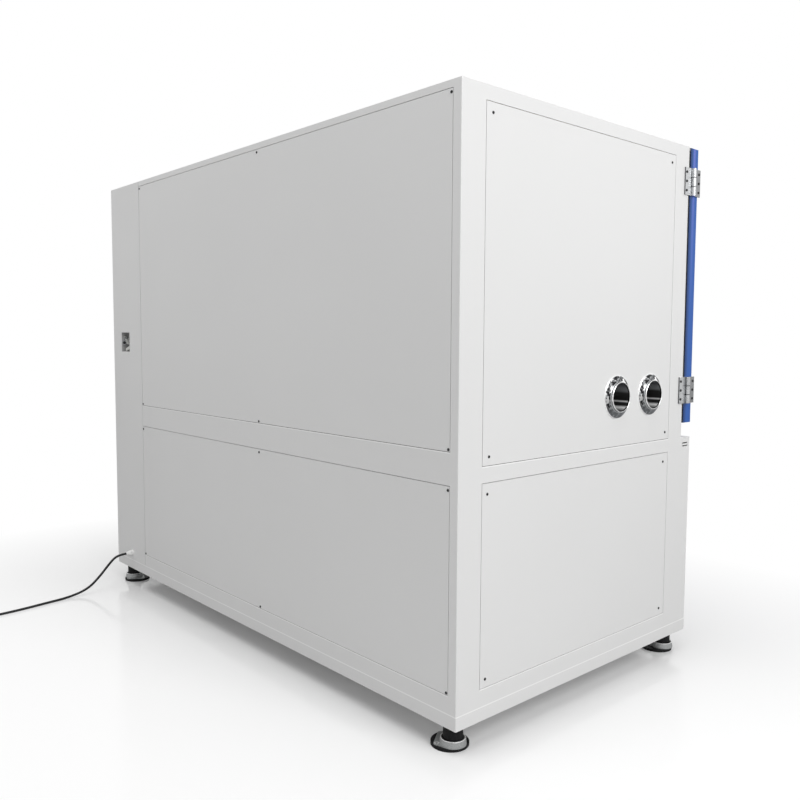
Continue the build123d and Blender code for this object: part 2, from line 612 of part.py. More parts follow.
def fan_wheel(across):
    """Centrifugal wheel with curved blades, and the long shaft to its motor."""
    x = X_LEFT + across
    z = Z_FAN
    y = Y_DUCT + 22
    plane = Plane(origin=(x, y, z), z_dir=(0, 1, 0))
    outer = Circle(FAN_RADIUS)
    inlet = extrude(outer - Circle(FAN_RADIUS * 0.66), 2)
    back = Pos(0, 0, FAN_WIDTH - 2) * extrude(outer, 2)
    # Backward-curved blade from the inlet's edge to the rim, swept back as it goes out
    heel, belly, tip = [Vector(FAN_RADIUS * share, 0).rotate(Axis.Z, -lag)
                        for share, lag in ((0.60, 0), (0.80, 11), (0.985, 34))]
    blade = extrude(trace(ThreePointArc(heel, belly, tip), BLADE_THICK), FAN_WIDTH - 2)
    blades = [Rot(0, 0, 360 * i / FAN_BLADES) * Pos(0, 0, 1) * blade for i in range(FAN_BLADES)]
    hub = Pos(0, 0, FAN_WIDTH - 30) * extrude(Circle(FAN_SHAFT * 2.4), 34)
    wheel = inlet + back + hub
    for item in blades:
        wheel += item
    reach = Y_BULKHEAD + MOTOR_LENGTH * 0.4 - y - FAN_WIDTH
    wheel += Pos(0, 0, FAN_WIDTH) * extrude(Circle(FAN_SHAFT), reach)
    return plane * wheel


def fans_and_motors():
    """The two circulation fans, and the motors behind the insulated wall."""
    motors = []
    for name, across in FAN_ACROSS.items():
        keep("circulation_fan_" + name, fan_wheel(across))
        point = (X_LEFT + across, Y_BULKHEAD, Z_FAN)
        motor = rod(point, (0, 1, 0), MOTOR_RADIUS, MOTOR_LENGTH)
        half = MOTOR_RADIUS * 1.25
        motor += block((point[0] - half, point[0] + half), (point[1], point[1] + 5),
                       (point[2] - half, point[2] + half))
        motor = motor - [rod((point[0], point[1] - 1, point[2]), (0, 1, 0),
                             FAN_SHAFT + RUNNING, MOTOR_LENGTH * 0.5)]
        motors.append(motor)
    keep("fan_motors", *motors)


def shelves():
    """Two wire shelves on angle rails."""
    z = Z_FLOOR_IN + INNER_HEIGHT * 0.46
    y = (Y_FACE + FRONT_FRAME + 45, Y_DUCT - 12)
    spans = {"left": (X_IN_LEFT + 4, X_MIDDLE - 4), "right": (X_MIDDLE + 4, X_IN_RIGHT - 4)}
    made = []
    wire = 4.0
    for x in spans.values():
        shelf = rod((x[0], y[0], z), (1, 0, 0), wire, x[1] - x[0])
        shelf += rod((x[0], y[1], z), (1, 0, 0), wire, x[1] - x[0])
        for wx in steps(x[0] + wire, x[1] - wire, 14):
            shelf += rod((wx, y[0], z), (0, 1, 0), wire * 0.75, y[1] - y[0])
        made.append(shelf)
    keep("shelves", *made)
    top = z - wire - SOFT_GAP
    rails = []
    for x0, side in ((X_IN_LEFT, 1), (X_IN_RIGHT, -1)):
        flat = tuple(sorted((x0, x0 + side * 22)))
        web = tuple(sorted((x0, x0 + side * 2)))
        rails.append(block(flat, grown(y, 4), (top - 2, top)) + block(web, grown(y, 4), (top - 24, top)))
    centre = block(grown((X_MIDDLE, X_MIDDLE), 24), (Y_FACE + FRONT_FRAME, Y_DUCT), (top - 2, top))
    centre += block(grown((X_MIDDLE, X_MIDDLE), 2), (Y_FACE + FRONT_FRAME, Y_DUCT), (top - 24, top))
    keep("shelf_supports", *rails, centre)


def heater_and_coil():
    """Sheathed heater above the fans and finned cooling coil below them, in the duct."""
    x = (X_IN_LEFT + 120, X_IN_RIGHT - 120)
    y = middle((Y_DUCT, Y_IN_BACK))
    ends = [(x[0], x[0] + 3), (X_MIDDLE - 40, X_MIDDLE - 37), (X_MIDDLE + 37, X_MIDDLE + 40),
            (x[1] - 3, x[1])]
    margin = 20
    rows = [Z_HEATER + margin + HEATER_PITCH * i for i in range(HEATER_ROWS)]
    heater = []
    coil = []
    for first, last in ((0, 1), (2, 3)):
        element = Part()
        for end in (ends[first], ends[last]):
            element += block(end, (y - 40, Y_IN_BACK), (Z_HEATER, rows[-1] + margin))
        for z in rows:
            for dy in (-22, 22):
                element += rod((ends[first][0], y + dy, z), (1, 0, 0), HEATER_ROD,
                               ends[last][1] - ends[first][0])
        heater.append(element)
        low = (Z_COOLER, Z_COOLER + COOLER_HEIGHT)
        core = block((ends[first][0], ends[last][1]), (y - 45, Y_IN_BACK), low)
        for gx in steps(ends[first][0] + 30, ends[last][1] - 30, 18):
            core -= block((gx, gx + COOLER_FIN_SPACE / 2), (y - 46, Y_IN_BACK - 12), grown(low, -12))
        coil.append(core)
    keep("heater", *heater)
    keep("evaporator", *coil)


def compressor(x, y):
    """Hermetic compressor on a square foot plate with four rubber pads."""
    reach = COMPRESSOR_FOOT / 2 - 20
    shell_low = COMPRESSOR_PAD + 25
    shell = Pos(0, 0, shell_low + COMPRESSOR_HEIGHT / 2) * Cylinder(COMPRESSOR_RADIUS, COMPRESSOR_HEIGHT)
    body = fillet(shell.edges(), 34)
    body += Pos(0, 0, COMPRESSOR_PAD + 2.5) * Box(COMPRESSOR_FOOT, COMPRESSOR_FOOT, 5)
    body += rod((0, 0, COMPRESSOR_PAD), (0, 0, 1), COMPRESSOR_RADIUS * 0.63, 34)
    body += rod((COMPRESSOR_RADIUS - 5, 0, shell_low + COMPRESSOR_HEIGHT * 0.7), (1, 0, 0), 9, 30)
    for dx in (-reach, reach):
        for dy in (-reach, reach):
            body += rod((dx, dy, 0), (0, 0, 1), 14, COMPRESSOR_PAD)
    return Pos(x, y, Z_BODY) * body


def machine_bay():
    """Two hermetic compressors, the air-cooled condenser with its fan, and the water tank."""
    keep("compressors", *[compressor(X_LEFT + across, Y_REAR - COMPRESSOR_BACK)
                          for across in COMPRESSORS_ACROSS])
    x = (X_LEFT + CONDENSER_ACROSS, X_LEFT + CONDENSER_ACROSS + CONDENSER_WIDTH)
    z = (Z_BODY, Z_BODY + CONDENSER_HEIGHT)
    y0 = Y_FRONT + CONDENSER_BACK
    y1 = y0 + CONDENSER_DEPTH
    y2 = y1 + SHROUD_DEPTH
    coil = block(x, (y0, y1), z)
    for gx in steps(x[0] + 30, x[1] - 44, 16):
        coil -= block((gx, gx + 14), (y0 - 1, y1 - 20), grown(z, -25))
    shroud = pan(x, (y1, y2), z, "-y", SHEET)
    fan_x = middle(x)
    fan_z = middle(z)
    shroud -= rod((fan_x, y1 + 30, fan_z), (0, 1, 0), CONDENSER_FAN_RADIUS + 8, SHROUD_DEPTH)
    motor = rod((fan_x, y2 + 40, fan_z), (0, 1, 0), 45, 90)
    bar = grown((fan_z, fan_z), 15)
    motor += block((x[0] + 60, x[1] - 60), (y2 + 125, y2 + 130), bar)
    for sx in (x[0] + 60, x[1] - 65):
        motor += block((sx, sx + 5), (y2, y2 + 130), bar)
    motor -= rod((fan_x, y2 + 39, fan_z), (0, 1, 0), FAN_SHAFT + RUNNING, 40)
    keep("condenser", coil, shroud, motor)
    plane = Plane(origin=(fan_x, y2 - 46, fan_z), z_dir=(0, 1, 0))
    rotor = extrude(Circle(42), 50) + Pos(0, 0, 50) * extrude(Circle(FAN_SHAFT), 60)
    blade = Pos(CONDENSER_FAN_RADIUS * 0.6, 0, 25) * Rot(28, 0, 0) * Box(
        CONDENSER_FAN_RADIUS * 0.78, 74, 2)
    for i in range(5):
        rotor += Rot(0, 0, 72 * i) * blade
    keep("condenser_fan", plane * rotor)
    tank_x = (X_SERVICE + TANK_ACROSS, X_SERVICE + TANK_ACROSS + TANK_WIDTH)
    tank_y = (Y_FRONT + TANK_BACK, Y_FRONT + TANK_BACK + TANK_DEPTH)
    tank = block(tank_x, tank_y, (Z_BODY, Z_BODY + TANK_HEIGHT))
    tank = fillet(tank.edges().filter_by(Axis.Z), 30)
    tank += rod((middle(tank_x), tank_y[0] + 60, Z_BODY + TANK_HEIGHT - 1), (0, 0, 1), 28, 26)
    keep("water_tank", tank)


def control_gear():
    """Mounting plate with breakers, contactors and a terminal row, inside the column."""
    x0 = X_COLUMN + SEAM
    y = (Y_FRONT + GEAR_BACK, Y_FRONT + GEAR_BACK + GEAR_WIDTH)
    face = x0 + SHEET * 2
    rail = face + 8
    gear = [block((x0, face), y, (Z_BODY, Z_TOP - GEAR_TOP_GAP))]
    for lift, count, tall, deep, pitch in GEAR_ROWS:
        z = Z_BODY + lift
        gear.append(block((face, rail), grown(y, -15), (z - 17, z + 17)))
        for i in range(count):
            place = (y[0] + 30 + pitch * i, y[0] + 22 + pitch * (i + 1))
            item = block((rail, rail + deep), place, (z - tall / 2, z + tall / 2))
            gear.append(item - block((rail + deep - 15, rail + deep + 1), grown(place, 1),
                                     (z + tall / 4, z + tall / 2 + 1)))
    keep("control_gear", *gear)


def socket_outlet():
    """Recessed pocket in the column's rear, with a round signal connector."""
    half = SOCKET_SIZE / 2 - FIT_GAP
    x = X_RIGHT - SOCKET_FROM_RIGHT
    z = Z_BASE + SOCKET_HEIGHT
    y = (Y_REAR - SOCKET_DEPTH, Y_REAR)
    pocket = pan((x - half, x + half), y, (z - half, z + half), "+y")
    flat = pocket + rod((x + 12, y[0], z + 4), (0, 1, 0), 15, 12)
    flat -= rod((x + 12, y[0] + 5, z + 4), (0, 1, 0), 11, 12)
    flat += rod((x + 12, y[0], z + 4), (0, 1, 0), 4, 12)
    flat += block((x - 34, x - 20), (y[0], y[0] + 8), (z - 30, z - 8))
    keep("socket_outlet", flat)


def foot_plate(stud, anchor, toe):
    """Cast base of a foot: a flat web from the stud's cup to its floor anchor and its toe."""
    with BuildSketch(Plane.XY.offset(PAD_HEIGHT)) as web:
        for point, radius in ((stud, FOOT_CUP_BASE), (anchor, LUG_RADIUS), (toe, LUG_RADIUS)):
            with Locations(point):
                Circle(radius)
        make_hull(web.sketch.edges())
    plate = extrude(web.sketch, FOOT_PLATE_THICK)
    top = PAD_HEIGHT + FOOT_PLATE_THICK
    grow_up = (Align.CENTER, Align.CENTER, Align.MIN)
    cup = Pos(*stud, top) * Cone(FOOT_CUP_BASE, FOOT_CUP_RADIUS, FOOT_CUP_HEIGHT, align=grow_up)
    cup -= rod((*stud, top), (0, 0, 1), FOOT_CUP_RADIUS - FOOT_CUP_WALL, FOOT_CUP_HEIGHT + 1)
    cup = fillet(cup.edges().group_by(Axis.Z)[-1], FOOT_CUP_WALL * 0.3)
    return plate + cup


def feet():
    """Four levelling feet with eccentric bases, and their lock nuts."""
    nuts = []
    for name, (x, y, inward_x, inward_y) in FOOT_PLACES.items():
        centre, anchor, toe = [(x + inward_x * shift[0], y + inward_y * shift[1])
                               for shift in (PAD_SHIFT, ANCHOR_SHIFT, TOE_SHIFT)]
        pad = rod((*centre, 0), (0, 0, 1), PAD_RADIUS, PAD_HEIGHT)
        pad = chamfer(pad.edges().group_by(Axis.Z)[-1], 1)
        hole = rod((*anchor, -1), (0, 0, 1), ANCHOR_RADIUS, PAD_HEIGHT + FOOT_PLATE_THICK + 2)
        nut_low = Z_BASE - LOCK_NUT_HEIGHT
        cap_low = PAD_HEIGHT + FOOT_PLATE_THICK
        cap = rod((x, y, cap_low), (0, 0, 1), FOOT_CAP_RADIUS, nut_low - 1 - cap_low)
        cap = chamfer(cap.edges().group_by(Axis.Z)[-1], 2)
        cap += rod((x, y, cap_low + 5), (0, 0, 1), STUD_RADIUS, Z_BASE + STUD_ENGAGED - cap_low - 5)
        keep("foot_" + name, pad - hole, foot_plate((x, y), anchor, toe) - hole, cap)
        nut = extrude(Pos(x, y, nut_low) * RegularPolygon(LOCK_NUT_FLATS / 2, 6, major_radius=False),
                      LOCK_NUT_HEIGHT)
        nuts.append(nut - rod((x, y, nut_low - 1), (0, 0, 1), STUD_RADIUS + RUNNING, 20))
    keep("lock_nuts", *nuts)


def hinge_leaf(fixed):
    """One hinge leaf about the local Z axis. Its plate is screwed to the plane X = hinge offset.

    The fixed leaf runs towards +Y and holds the pin, the door leaf runs towards -Y.
    """
    half = HINGE_HEIGHT / 2
    third = HINGE_HEIGHT / 6
    plate_x = (HINGE_OFFSET - HINGE_PLATE, HINGE_OFFSET)
    middle_part = (-third + HINGE_GAP, third - HINGE_GAP)
    outer_parts = ((-half, -third), (third, half))
    clear = KNUCKLE_RADIUS + HINGE_GAP
    if fixed:
        leaf = block(plate_x, (HINGE_GAP, HINGE_LEAF), (-half, half))
        leaf -= rod((0, 0, -third - HINGE_GAP / 2), (0, 0, 1), clear, third * 2 + HINGE_GAP)
        for z in outer_parts:
            leaf += rod((0, 0, z[0]), (0, 0, 1), KNUCKLE_RADIUS, z[1] - z[0])
            leaf += block((HINGE_OFFSET - HINGE_PLATE, KNUCKLE_RADIUS), (0, HINGE_GAP * 2), z)
        leaf += rod((0, 0, -half), (0, 0, 1), PIN_RADIUS, HINGE_HEIGHT)
        holes = (HINGE_LEAF - 10,)
    else:
        leaf = block(plate_x, (-HINGE_LEAF, -HINGE_GAP), (-half, half))
        for z in outer_parts:
            leaf -= rod((0, 0, z[0] - HINGE_GAP), (0, 0, 1), clear, z[1] - z[0] + HINGE_GAP * 2)
        knuckle = rod((0, 0, middle_part[0]), (0, 0, 1), KNUCKLE_RADIUS,
                      middle_part[1] - middle_part[0])
        knuckle += block((HINGE_OFFSET - HINGE_PLATE, KNUCKLE_RADIUS), (-HINGE_GAP * 2, 0), middle_part)
        leaf += knuckle
        leaf -= rod((0, 0, -half), (0, 0, 1), PIN_RADIUS + RUNNING, HINGE_HEIGHT)
        holes = (-HINGE_LEAF + 10,)
    for y in holes:
        for z in (-half + 15, half - 15):
            leaf -= rod((HINGE_OFFSET - HINGE_PLATE - 1, y, z), (1, 0, 0), 3, HINGE_PLATE + 2)
    return leaf


def hinge_place(side, z):
    """Where a hinge sits: the left pair on the side wall, the right pair on the front."""
    x, y = HINGE_AXIS[side]
    if side == "left":
        return Pos(x, y, z)
    return Pos(x, y, z) * Rot(0, 0, 90) * Rot(180, 0, 0)


def doors():
    """Two insulated doors: skin, inner pan, gasket, window, hinge leaves and latch handle."""
    window_z = grown((Z_BASE + WINDOW_CENTRE, Z_BASE + WINDOW_CENTRE), WINDOW_HEIGHT / 2)
    fixed_leaves = [hinge_place(s, z) * hinge_leaf(True) for s in ("left", "right") for z in HINGE_Z]
    keep("hinge_body_leaves", *fixed_leaves)
    for side, x in DOOR_X.items():
        opening = OPENING_X[side]
        window_x = grown((middle(opening), middle(opening)), WINDOW_WIDTH / 2)
        hole = rounded(window_x, window_z, (Y_FRONT - 10, Y_PLUG + 10), WINDOW_CORNER)
        skin = pan(x, (Y_FRONT, Y_DOOR_BACK), DOOR_Z, "+y")
        front_edges = skin.edges().filter_by(Axis.Z).group_by(Axis.Y)[0]
        skin = fillet(front_edges, DOOR_EDGE_RADIUS * 0.28) - hole
        latch_x = x[1] - HANDLE_EDGE if side == "left" else x[0] + HANDLE_EDGE
        latch = (latch_x, Y_FRONT, Z_BASE + HANDLE_CENTRE)
        keep(side + "_door", skin)
        # Inner pan: a flange behind the skin, and a tapered plug that fills the opening
        inside_x = grown(x, -SHEET - FIT_GAP)
        inside_z = grown(DOOR_Z, -SHEET - FIT_GAP)
        flange = block(inside_x, (Y_DOOR_BACK - SHEET, Y_DOOR_BACK), inside_z)
        plug_x = grown(opening, -PLUG_CLEARANCE)
        plug_z = grown((Z_FLOOR_IN, Z_CEILING_IN), -PLUG_CLEARANCE)
        plug = tapered_plug(plug_x, plug_z, 0) - tapered_plug(plug_x, plug_z, SHEET)
        liner = flange - block(grown(plug_x, -SHEET), (Y_DOOR_BACK - 5, Y_DOOR_BACK + 5),
                               grown(plug_z, -SHEET))
        liner = liner + plug - hole
        keep(side + "_door_liner", liner)
        gasket_x = grown(x, -GASKET_INSET)
        gasket_z = grown(DOOR_Z, -GASKET_INSET)
        gasket_y = (Y_DOOR_BACK, Y_FACE - SOFT_GAP)
        gasket = rounded(gasket_x, gasket_z, gasket_y, 10)
        gasket -= rounded(grown(gasket_x, -GASKET_WIDTH), grown(gasket_z, -GASKET_WIDTH),
                          grown(gasket_y, 1), 6)
        keep(side + "_gasket", gasket)
        window(side, window_x, window_z)
        door_hardware(side, latch)


def tapered_plug(x, z, inset):
    """The plug of a door: a loft from the door's back to its smaller inner face."""
    start = Plane(origin=(middle(x), Y_DOOR_BACK, middle(z)), x_dir=(1, 0, 0), z_dir=(0, 1, 0))
    length = Y_PLUG - Y_DOOR_BACK - inset
    wide = x[1] - x[0] - inset * 2
    tall = z[1] - z[0] - inset * 2
    share = length / (Y_PLUG - Y_DOOR_BACK)
    small = PLUG_DRAFT * 2 * share
    first = start * RectangleRounded(wide, tall, 14)
    last = start.offset(length) * RectangleRounded(wide - small, tall - small, 14)
    return loft([first, last])


def window(side, x, z):
    """Window frame through the door, and two panes held in it."""
    inner_x = grown(x, -FIT_GAP)
    inner_z = grown(z, -FIT_GAP)
    wall = 4
    body = rounded(inner_x, inner_z, (Y_FRONT, Y_PLUG), WINDOW_CORNER)
    body += rounded(grown(x, WINDOW_FRAME), grown(z, WINDOW_FRAME),
                    (Y_FRONT - WINDOW_FLANGE, Y_FRONT), WINDOW_CORNER + WINDOW_FRAME)
    body += rounded(grown(x, WINDOW_FRAME * 0.6), grown(z, WINDOW_FRAME * 0.6),
                    (Y_PLUG, Y_PLUG + WINDOW_FLANGE), WINDOW_CORNER + WINDOW_FRAME * 0.6)
    body -= rounded(grown(inner_x, -wall), grown(inner_z, -wall),
                    (Y_FRONT - 10, Y_PLUG + 10), WINDOW_CORNER - wall)
    pane_x = grown(inner_x, -wall - FIT_GAP)
    pane_z = grown(inner_z, -wall - FIT_GAP)
    keep(side + "_window_frame", body)
    panes = [rounded(pane_x, pane_z, (y, y + GLASS_THICK), WINDOW_CORNER - wall - FIT_GAP)
             for y in (Y_FRONT + 2, Y_PLUG - 2 - GLASS_THICK)]
    keep(side + "_window_glass", *panes)


def door_hardware(side, latch):
    """Door leaves of the hinges with the latch plate, and the lever that turns in it."""
    leaves = [hinge_place(side, z) * hinge_leaf(False) for z in HINGE_Z]
    x, y, z = latch
    plate = rounded(grown((x, x), LATCH_PLATE_WIDTH / 2), grown((z, z), LATCH_PLATE_HEIGHT / 2),
                    (y - LATCH_PLATE_THICK, y), 8)
    plate += rod((x, y - LATCH_PLATE_THICK, z), (0, -1, 0), BOSS_RADIUS, BOSS_HEIGHT)
    bore = LATCH_PLATE_THICK + BOSS_HEIGHT
    plate -= rod((x, y + 1, z), (0, -1, 0), SPINDLE_RADIUS + RUNNING, bore + 2)
    keep(side + "_door_hardware", *leaves, plate)
    front = y - bore - SOFT_GAP
    lever = rod((x, y - 1, z), (0, -1, 0), SPINDLE_RADIUS, y - 1 - front + 4)
    lever += rod((x, front, z), (0, -1, 0), BOSS_RADIUS, LEVER_OUT - SOFT_GAP)
    face = Plane(origin=(x, front - LEVER_OUT + SOFT_GAP, z), x_dir=(1, 0, 0), z_dir=(0, 1, 0))
    with BuildSketch(face) as grip:
        with BuildLine():
            l1 = Line((-13, 0), (-9, LEVER_LENGTH))
            l2 = ThreePointArc((-9, LEVER_LENGTH), (0, LEVER_LENGTH + 8), (9, LEVER_LENGTH))
            l3 = Line((9, LEVER_LENGTH), (13, 0))
            Line(l3 @ 1, l1 @ 0)
        make_face()
    arm = extrude(grip.sketch, LEVER_THICK)
    lever += fillet(arm.faces().sort_by(Axis.Y)[0].edges(), 3)
    keep(side + "_handle", lever)


def column_door():
    """Tall narrow door of the control column, with its screen and controls."""
    x = COLUMN_DOOR_X
    z = COLUMN_DOOR_Z
    y = (Y_FRONT, Y_FRONT + COLUMN_DOOR_THICK)
    centre = middle(x)
    door = pan(x, y, z, "+y")
    screen_z = Z_BASE + SCREEN_CENTRE
    door -= block(grown((centre, centre), SCREEN_WIDTH / 2), grown(y, 1),
                  grown((screen_z, screen_z), SCREEN_HEIGHT / 2))
    stop_x = centre - 45
    button_x = centre + 45
    row = Z_BASE + BUTTON_ROW
    switch_z = Z_BASE + SWITCH_CENTRE
    for px, pz, radius in ((stop_x, row, 8), (button_x, row, BUTTON_RADIUS), (centre, switch_z, 7)):
        door -= rod((px, Y_FRONT - 1, pz), (0, 1, 0), radius + RUNNING, 5)
    door += block((COLUMN_AXIS[0] - 10, x[1]), y, (z[0], z[0] + 12))
    door += block((COLUMN_AXIS[0] - 10, x[1]), y, (z[1] - 12, z[1]))
    door += rod((*COLUMN_AXIS, z[0] + 6), (0, 0, -1), PIN_RADIUS, 6 + SEAM + FRAME_WALL)
    door += rod((*COLUMN_AXIS, z[1] - 6), (0, 0, 1), PIN_RADIUS, 6 + SEAM + FRAME_WALL)
    keep("column_door", door)
    # Touch screen: a bezel on the door's face and a body behind it
    bezel = 10
    screen = rounded(grown((centre, centre), SCREEN_WIDTH / 2 + bezel),
                     grown((screen_z, screen_z), SCREEN_HEIGHT / 2 + bezel), (Y_FRONT - 6, Y_FRONT), 8)
    screen = chamfer(screen.faces().sort_by(Axis.Y)[0].edges(), 2.5)
    screen -= block(grown((centre, centre), SCREEN_WIDTH / 2 - 8), (Y_FRONT - 7, Y_FRONT - 4),
                    grown((screen_z, screen_z), SCREEN_HEIGHT / 2 - 8))
    screen += block(grown((centre, centre), SCREEN_WIDTH / 2 - FIT_GAP), (Y_FRONT - 1, Y_FRONT + COLUMN_DOOR_THICK + 2),
                    grown((screen_z, screen_z), SCREEN_HEIGHT / 2 - FIT_GAP))
    keep("touch_screen", screen)
    stop = rod((stop_x, Y_FRONT + 12, row), (0, -1, 0), 8, 12 + STOP_TRAVEL + 2)
    head = rod((stop_x, Y_FRONT - STOP_TRAVEL - 1, row), (0, -1, 0), STOP_RADIUS, 13)
    head = fillet(head.edges().group_by(Axis.Y)[0], 4)
    keep("emergency_stop", stop + head)
    button = rod((button_x, Y_FRONT + 12, row), (0, -1, 0), BUTTON_RADIUS, 12 + BUTTON_TRAVEL + 1.5)
    button = chamfer(button.edges().group_by(Axis.Y)[0], 1)
    keep("power_button", button)
    switch = rod((centre, Y_FRONT + 14, switch_z), (0, -1, 0), 7, 14 + 2)
    switch += rod((centre, Y_FRONT - SOFT_GAP, switch_z), (0, -1, 0), SWITCH_RADIUS, 8)
    switch += rounded(grown((centre, centre), 6), grown((switch_z, switch_z), SWITCH_RADIUS + 4),
                      (Y_FRONT - 26, Y_FRONT - 8), 5)
    keep("main_switch", switch)


def service_door():
    """Louvred lower door in front of the water tank."""
    x = SERVICE_X
    z = SERVICE_Z
    y = (Y_FRONT, Y_FRONT + 22)
    door = pan(x, y, z, "+y")
    door -= slots([middle(x)], steps(z[0] + 90, z[0] + 240, 6), 240, 10, grown(y, 1))
    door += block((x[0], SERVICE_AXIS[0] + 10), y, (z[0], z[0] + 12))
    door += block((x[0], SERVICE_AXIS[0] + 10), y, (z[1] - 12, z[1]))
    door += rod((*SERVICE_AXIS, z[0] + 6), (0, 0, -1), PIN_RADIUS, 6 + SEAM + FRAME_WALL)
    door += rod((*SERVICE_AXIS, z[1] - 6), (0, 0, 1), PIN_RADIUS, 6 + SEAM + FRAME_WALL)
    pull_z = middle(z) + 60
    pocket = (x[1] - 60, x[1] - 30)
    door -= block(pocket, grown(y, 1), grown((pull_z, pull_z), 50))
    door += pan(pocket, (y[0], y[0] + 18), grown((pull_z, pull_z), 50), "-y")
    keep("service_door", door)


def gland_and_cord():
    """Cable gland, the mains lead to the floor, its stored coil, and its plug."""
    x = X_RIGHT - GLAND_FROM_RIGHT
    z = Z_BASE + GLAND_HEIGHT
    gland = rod((x, Y_REAR, z), (0, 1, 0), CORD_RADIUS * 2.6, 8)
    gland += rod((x, Y_REAR - SHEET - 8, z), (0, 1, 0), CORD_RADIUS * 1.8, SHEET + 10)
    gland += extrude(Plane(origin=(x, Y_REAR + 7, z), z_dir=(0, 1, 0)) *
                     RegularPolygon(CORD_RADIUS * 2.2, 6, major_radius=False), 10)
    nose = Plane(origin=(x, Y_REAR + 17, z), z_dir=(0, 1, 0)) * Cone(
        CORD_RADIUS * 2.1, CORD_RADIUS * 1.5, GLAND_OUT - 17, align=(Align.CENTER, Align.CENTER, Align.MIN))
    gland += nose
    gland += rod((x, Y_REAR - SHEET - 8, z), (0, 1, 0), CORD_RADIUS * 2.6, 8)
    keep("cable_gland", gland)
    # Route across the floor, as it lies in view, then into the coil beside the chamber
    coil_x = x - 114
    coil_y = Y_REAR + 700
    route = [(x, Y_REAR + GLAND_OUT, z), (x, Y_REAR + 70, z), (x, Y_REAR + 102, z - 26),
             (x + 1, Y_REAR + 152, 66), (x - 1, Y_REAR + 206, 22),
             (x - 7, Y_REAR + 290, CORD_RADIUS), (x - 20, Y_REAR + 385, CORD_RADIUS),
             (x - 36, Y_REAR + 480, CORD_RADIUS), (x - 43, Y_REAR + 570, CORD_RADIUS),
             (x - 43, Y_REAR + 650, CORD_RADIUS)]
    tube_solid, length = cord_tube(route)
    keep("power_cord", tube_solid)
    inner, outer, tall, lead = 34.5, 76.0, 21.0, 71.0
    ring = Pos(coil_x, coil_y, tall / 2) * (Cylinder(outer, tall) - Cylinder(inner, tall))
    ring = fillet(ring.edges(), 4)
    ring += rod(route[-1], (0, 1, 0), CORD_RADIUS, coil_y - route[-1][1])
    exit_z = tall - CORD_RADIUS - 0.7
    ring += rod((coil_x, coil_y + lead, exit_z), (-1, 0, 0), CORD_RADIUS, 62)
    keep("cord_coil", ring)
    plug_x = coil_x - 62
    plug = rod((plug_x, coil_y + lead, exit_z), (-1, 0, 0), PLUG_BODY_RADIUS, 42)
    plug = fillet(plug.edges(), 3)
    for dy in (-9.5, 9.5):
        plug += rod((plug_x - 40, coil_y + lead + dy, exit_z), (-1, 0, 0), 2.4, 20)
    keep("power_plug", plug)
    return length


def cord_tube(route):
    """A tube of straight runs and tangent arcs, each as large as its two runs allow."""
    points = [Vector(*p) for p in route]
    radii = []
    for a, b, c in zip(points, points[1:], points[2:]):
        turn = math.radians((b - a).get_angle(c - b))
        shorter = min((b - a).length, (c - b).length)
        radii.append(0.45 * shorter / math.tan(turn / 2))
    path = FilletPolyline(*points, radius=radii)
    start = Plane(origin=points[0], z_dir=path % 0)
    solid = sweep(start * Circle(CORD_RADIUS), path=path)
    print("cord radii", [round(r) for r in radii])
    print("cord length", round(path.length), "volume share",
          round(solid.volume / (math.pi * CORD_RADIUS ** 2 * path.length), 4))
    return solid, path.length


base_frame()
body_frame()
top_cover()
panels()
column_rear_panel()
lower_front_panel()
insulation()
inner_liner()
door_frame()
ports()
duct_wall()
fans_and_motors()
shelves()
heater_and_coil()
machine_bay()
control_gear()
socket_outlet()
feet()
doors()
column_door()
service_door()
gland_and_cord()

os.makedirs("parts", exist_ok=True)
for node, shape in PARTS.items():
    export_step(shape, "parts/" + node + ".step")
print(len(PARTS), "nodes written")
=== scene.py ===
import math

import bmesh
import bpy
from mathutils import Matrix, Vector


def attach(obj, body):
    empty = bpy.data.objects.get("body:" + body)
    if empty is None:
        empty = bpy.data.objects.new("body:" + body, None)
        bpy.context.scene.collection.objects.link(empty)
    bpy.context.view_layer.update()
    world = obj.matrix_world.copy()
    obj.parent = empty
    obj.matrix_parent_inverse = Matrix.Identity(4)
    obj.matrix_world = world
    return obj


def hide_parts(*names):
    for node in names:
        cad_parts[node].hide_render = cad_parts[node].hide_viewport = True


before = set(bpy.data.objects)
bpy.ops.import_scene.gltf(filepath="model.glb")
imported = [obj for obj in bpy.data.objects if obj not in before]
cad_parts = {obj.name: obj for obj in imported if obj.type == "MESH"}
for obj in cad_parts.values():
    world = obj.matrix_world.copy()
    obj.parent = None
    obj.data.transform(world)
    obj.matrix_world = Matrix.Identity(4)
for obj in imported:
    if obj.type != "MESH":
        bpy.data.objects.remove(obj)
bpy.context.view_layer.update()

# Places that the solids and the dressing share, in metres
LEFT = -1.0855
RIGHT = 1.1035
REAR = 0.612
FACE = REAR - 1.119
FRONT = FACE - 0.061
BASE = 0.076
COLUMN = RIGHT - 0.290
MIDDLE = (LEFT + COLUMN) / 2
CORD_ACROSS = LEFT + 2.033
COIL_ACROSS = CORD_ACROSS - 0.114
COIL_BEHIND = REAR + 0.700
CORD_THICK = 0.010
SOFT_LIGHT = 0.42

# Cable ports: distance behind the rear, height of the axis, and radii from bore to flange edge
PORT_BACKS = {"rear": 0.717, "front": 0.907}
PORT_UP = BASE + 0.862
PORT_BORE = 0.0434
PORT_REBATE = 0.0460
PORT_RIM = 0.0495
PORT_EDGE = 0.0670

# Hinges: heights, and distance of the left axis behind the doors' rear plane
HINGE_LEVELS = (BASE + 0.867, BASE + 1.583)
HINGE_BACK = 0.022
HINGE_SCREW_OFFSET = 0.040
KNUCKLE_SPLIT = 0.01533
LEAF_FACE = 0.0042

